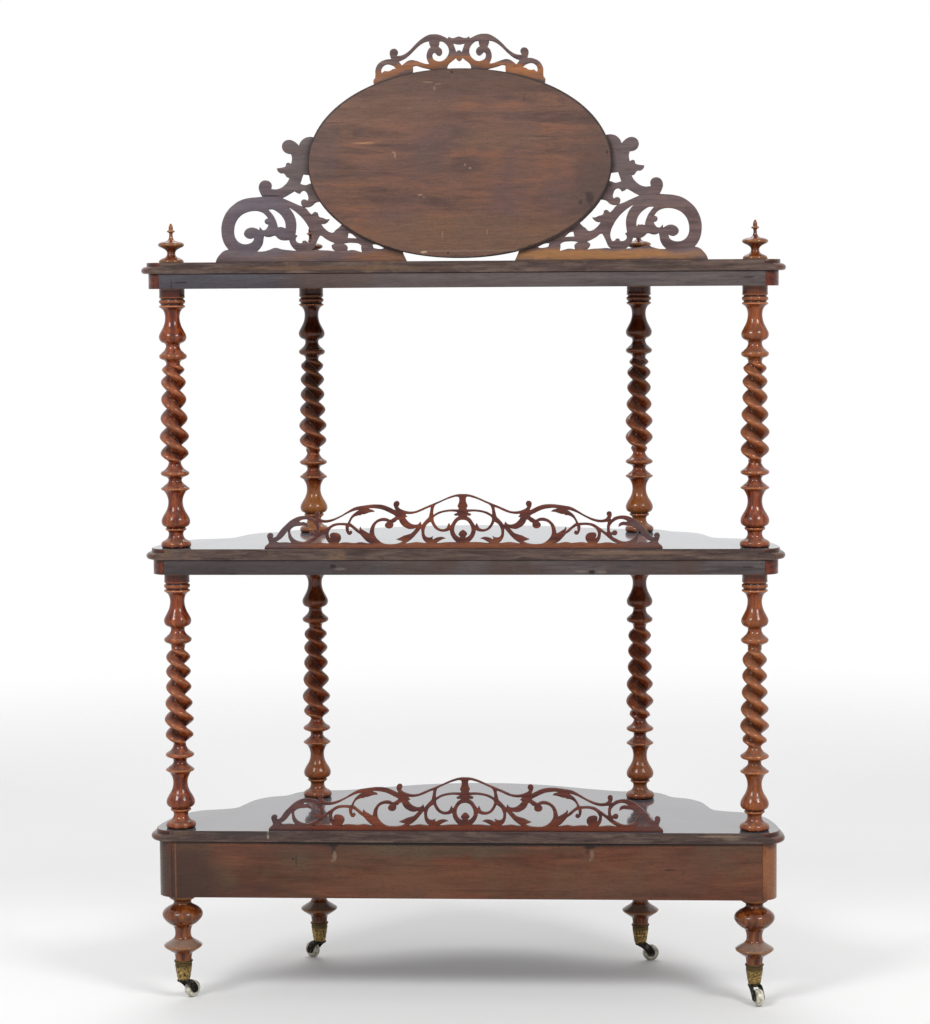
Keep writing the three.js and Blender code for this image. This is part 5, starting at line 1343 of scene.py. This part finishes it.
def both_sides(half):
    """A half line and its mirror image, as one closed loop. Its ends lie on the middle."""
    return half + flipped(half)[1:-1]


def open_ended(half):
    """The same for a half line that ends away from the middle."""
    return half + flipped(half)[:-1]


# %% The two back galleries
GALLERY_HALF, GALLERY_HEIGHT, GALLERY_Y = 295.5, 81, 195.8
for name in ("bottom", "middle"):
    lie = (GALLERY_HALF, GALLERY_HEIGHT, SHELF_TOP[name])
    loops = [open_ended(in_place(FRET_EDGE, *lie)), both_sides(in_place(FRET_EYE, *lie))]
    for shares in FRET_HOLES:
        hole = in_place(shares, *lie)
        loops += [hole, flipped(hole)]
    board = fretted(f"fret_gallery_{name}", loops, GALLERY_Y)
    dress(board, "cabinet", "fret_walnut", fret_wood, f"fret_{name}", angle=50)

# %% Crest and brackets
# Both run behind the oval for a centimetre, where they are glued to it.
OVERLAP = 10


def under_oval(start, end, steps):
    """Points of a line inside the oval's edge, between two parts of a turn."""
    turns = [start + (end - start) * i / steps for i in range(steps + 1)]
    return [oval_point(2 * math.pi * turn, OVERLAP) for turn in turns]


def turn_at(share):
    """The part of a turn at which the oval has a share of its half width, in thousandths."""
    return math.acos((share / 1000) ** (OVAL_POWER / 2)) / (2 * math.pi)


def of_crest(shares):
    return in_place(shares, OVAL_HALF_WIDTH, OVAL_HALF_HEIGHT, OVAL_Z)


def of_bracket(shares):
    return in_place(shares, OVAL_HALF_WIDTH, OVAL_HALF_HEIGHT, SHELF_TOP["top"])


crest_half = (of_crest(CREST_EDGE)
              + under_oval(turn_at(CREST_EDGE[-1][0]), turn_at(CREST_NOTCH[0][0]), 8)
              + of_crest(CREST_NOTCH)
              + under_oval(turn_at(CREST_NOTCH[-1][0]), turn_at(CREST_ARCH[0][0]), 8)
              + of_crest(CREST_ARCH))
crest_loops = [both_sides(crest_half), both_sides(of_crest(CREST_EYE))]
for hole in map(of_crest, CREST_HOLES):
    crest_loops += [hole, flipped(hole)]
crest = fretted("fret_crest", crest_loops, OVAL_FRONT_Y)
dress(crest, "cabinet", "fret_walnut", crest_wood, "crest_fretwork", angle=50)

BRACKET_MEETS, BRACKET_LEAVES = 0.046, -0.185  # the oval, in parts of a turn
outline = (of_bracket(BRACKET_EDGE) + under_oval(BRACKET_MEETS, BRACKET_LEAVES, 20)
           + of_bracket(BRACKET_TOE))
bracket_loops = [outline] + [of_bracket(hole) for hole in BRACKET_HOLES]
for side_name in ("right", "left"):
    loops = bracket_loops if side_name == "right" else [flipped(loop) for loop in bracket_loops]
    bracket = fretted(f"fret_bracket_{side_name}", loops, OVAL_FRONT_Y)
    dress(bracket, "cabinet", "fret_walnut", bracket_wood, f"bracket_{side_name}", angle=50)

# %% [markdown]
# ## Drawer
# The front isn't in the photograph, so it is a plain one of its kind: a bowed board that
# carries the curve of the shelf on, two turned knobs, and a pine box behind it. The box's
# boards are right as they are, so these solids stay, and only get their wood.

# %% Bowed front with knobs
FRONT_HALF, FRONT_LOW, FRONT_HIGH, FRONT_THICKNESS = 221.8, 164.4, 248.5, 17.2
KNOB_X, KNOB_Z = 110, 206.4
SPIGOT, SPIGOT_LENGTH, CLEARANCE = 5, 10, 0.3
BORE = SPIGOT + CLEARANCE
KNOB = [
    (0, 9), (1, 9.2), (2.4, 8.6), (4, 7), (6, 5.8), (7.6, 5.5), (9.6, 6.6), (12, 9), (14.4, 11),
    (16.5, 12), (18.4, 11.6), (20.2, 9.6), (21.2, 7.4), (21.8, 4.8), (22, 2),
]
front_run = [p for p in reversed(face_line) if abs(p.x) < 232 and p.y < 0]
front = strip("bowed_drawer_front", front_run, FRONT_LOW, FRONT_HIGH, FRONT_THICKNESS)
for sign in (1, -1):
    saw(front, (sign * FRONT_HALF, 0, 0), (sign, 0, 0))
# A knob stands square to the bow, so its seat has the slope that the front has there.
near = min(range(len(front_run)), key=lambda i: abs(front_run[i].x - KNOB_X))
here, after = front_run[near], front_run[near + 1]
slope = math.atan2(after.y - here.y, after.x - here.x)
# The run may go either way, and the slope is the one within a quarter turn.
slope = slope if abs(slope) < 1.5 else slope - math.copysign(math.pi, slope)
for side_name, sign in (("left", -1), ("right", 1)):
    seat = (Matrix.Translation(Vector((sign * KNOB_X, front_run[near].y, KNOB_Z)) * MM)
            @ Matrix.Rotation(sign * slope, 4, "Z") @ Matrix.Rotation(math.pi / 2, 4, "X"))
    hole_line = [(-SPIGOT_LENGTH - CLEARANCE, BORE), (0, BORE), (30, BORE)]
    hole = turned("hole", hole_line, sides=32, step=40)
    hole.data.transform(seat)
    combine(front, hole, "DIFFERENCE")
    knob = turned(f"turned_knob_{side_name}", KNOB, sides=48, step=0.9)
    spigot_line = [(-SPIGOT_LENGTH, SPIGOT), (0, SPIGOT), (6, SPIGOT)]
    spigot = turned("spigot", spigot_line, sides=32, step=20)
    combine(knob, spigot, "UNION")
    knob.data.transform(seat @ Matrix.Translation((0, 0, CLEARANCE * MM)))
    dress(knob, "drawer", "turned_walnut", turned_walnut, f"drawer_knob_{side_name}", angle=50)
soften(close_up(front), 0.6)
dress(front, "drawer", "polished_walnut", edge_polish, "drawer_front")
print("drawer front bows to y", round(min(v.co.y for v in front.data.vertices) / MM, 1))

# %% The pine box gets its wood
boards = [solid for name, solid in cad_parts.items()
          if name.startswith(("drawer_side", "drawer_back", "drawer_bottom", "drawer_runner"))]
for solid in boards:
    for slot in solid.material_slots:
        slot.material = box_wood
print("pine boards:", len(boards))

# %% [markdown]
# ## Floor, background and light
# The photograph was taken on a white ground with soft light from all round. So the world
# is white, and a white floor lies below, which thins out to nothing a few metres away, so
# that no horizon shows. Light from all round alone would leave turned wood flat: its
# roundness shows in the two bright spots that lamps draw on every bulb. The spots in the
# photograph lie 20 degrees to either side, so the lamps stand about twice that far round,
# and their width follows from that of the spots. They hang so high that the polished
# shelves don't mirror them into the lens. A third, broad lamp hangs above, and lights the
# upper faces and the front.

# %% What the camera, a mirror or a glass sees
def seen(tree):
    """1 for rays from the camera and those that gloss or glass sends on, otherwise 0."""
    rays = node(tree, "LightPath", {}).outputs
    share = rays["Is Camera Ray"]
    for kind in ("Is Glossy Ray", "Is Transmission Ray"):
        share = node(tree, "Math", {0: share, 1: rays[kind]}, operation="MAXIMUM").outputs[0]
    return share


# %% Floor
# Background paper: matt and nearly white. Its slight glow, which only the camera and
# reflections see, keeps the shadow pale.
FLOOR_SIZE, FULL_WITHIN, GONE_AT, GLOW = 9, 1.3, 3.6, 0.1  # m, m, m and a strength
bpy.ops.object.select_all(action="DESELECT")
bpy.ops.mesh.primitive_plane_add(size=FLOOR_SIZE)
floor = bpy.context.object
floor.name = "floor"
paper, paper_tree, paper_shader = finish_of("paper, white, matt", Roughness=0.9)
paper_shader.inputs["Base Color"].default_value = tone("#e6e6e6")
place = node(paper_tree, "TexCoord", {}).outputs["Object"]
away = node(paper_tree, "VectorMath", {0: place}, operation="LENGTH").outputs["Value"]
thin = node(paper_tree, "MapRange", {"Value": away, "From Min": FULL_WITHIN, "From Max": GONE_AT,
                                     "To Min": 1.0, "To Max": 0.0},
            interpolation_type="SMOOTHSTEP")
paper_tree.links.new(thin.outputs[0], paper_shader.inputs["Alpha"])
lift = node(paper_tree, "Math", {0: seen(paper_tree), 1: GLOW}, operation="MULTIPLY").outputs[0]
paper_tree.links.new(lift, paper_shader.inputs["Emission Strength"])
paper_shader.inputs["Emission Color"].default_value = (1, 1, 1, 1)
floor.data.materials.append(paper)
print("floor:", FLOOR_SIZE, "m wide")

# %% World
ROOM_LIGHT = 0.46  # on the object, where the background that is seen has a strength of 1
world = bpy.data.worlds.new("white room")
bpy.context.scene.world = world
world.use_nodes = True
sky = world.node_tree
strength = node(sky, "MapRange", {"Value": seen(sky), "To Min": ROOM_LIGHT, "To Max": 1.0})
sky.links.new(strength.outputs[0], sky.nodes["Background"].inputs["Strength"])
sky.nodes["Background"].inputs["Color"].default_value = (1, 1, 1, 1)
print("room light on the object:", ROOM_LIGHT)

# %% Lamps
LAMPS = {  # place in m, power in W and width in m
    "lamp_left": ((1.85, 2.7, 2.9), 60, 1.0),
    "lamp_right": ((-2.2, 2.45, 2.9), 62, 1.0),
    "lamp_above": ((0.3, -1.4, 3.4), 42, 2.0),
}
AIM = Vector((0, 0, 0.8))  # m, the middle of the whatnot
for name, (place, power, size) in LAMPS.items():
    bpy.ops.object.light_add(type="AREA", location=place)
    lamp = bpy.context.object
    lamp.name = name
    lamp.data.energy, lamp.data.size = power, size
    lamp.rotation_euler = (AIM - Vector(place)).to_track_quat("-Z", "Y").to_euler()
    lamp.visible_camera = False
bpy.context.scene.view_settings.view_transform = "Standard"
print("lamps:", len(LAMPS))
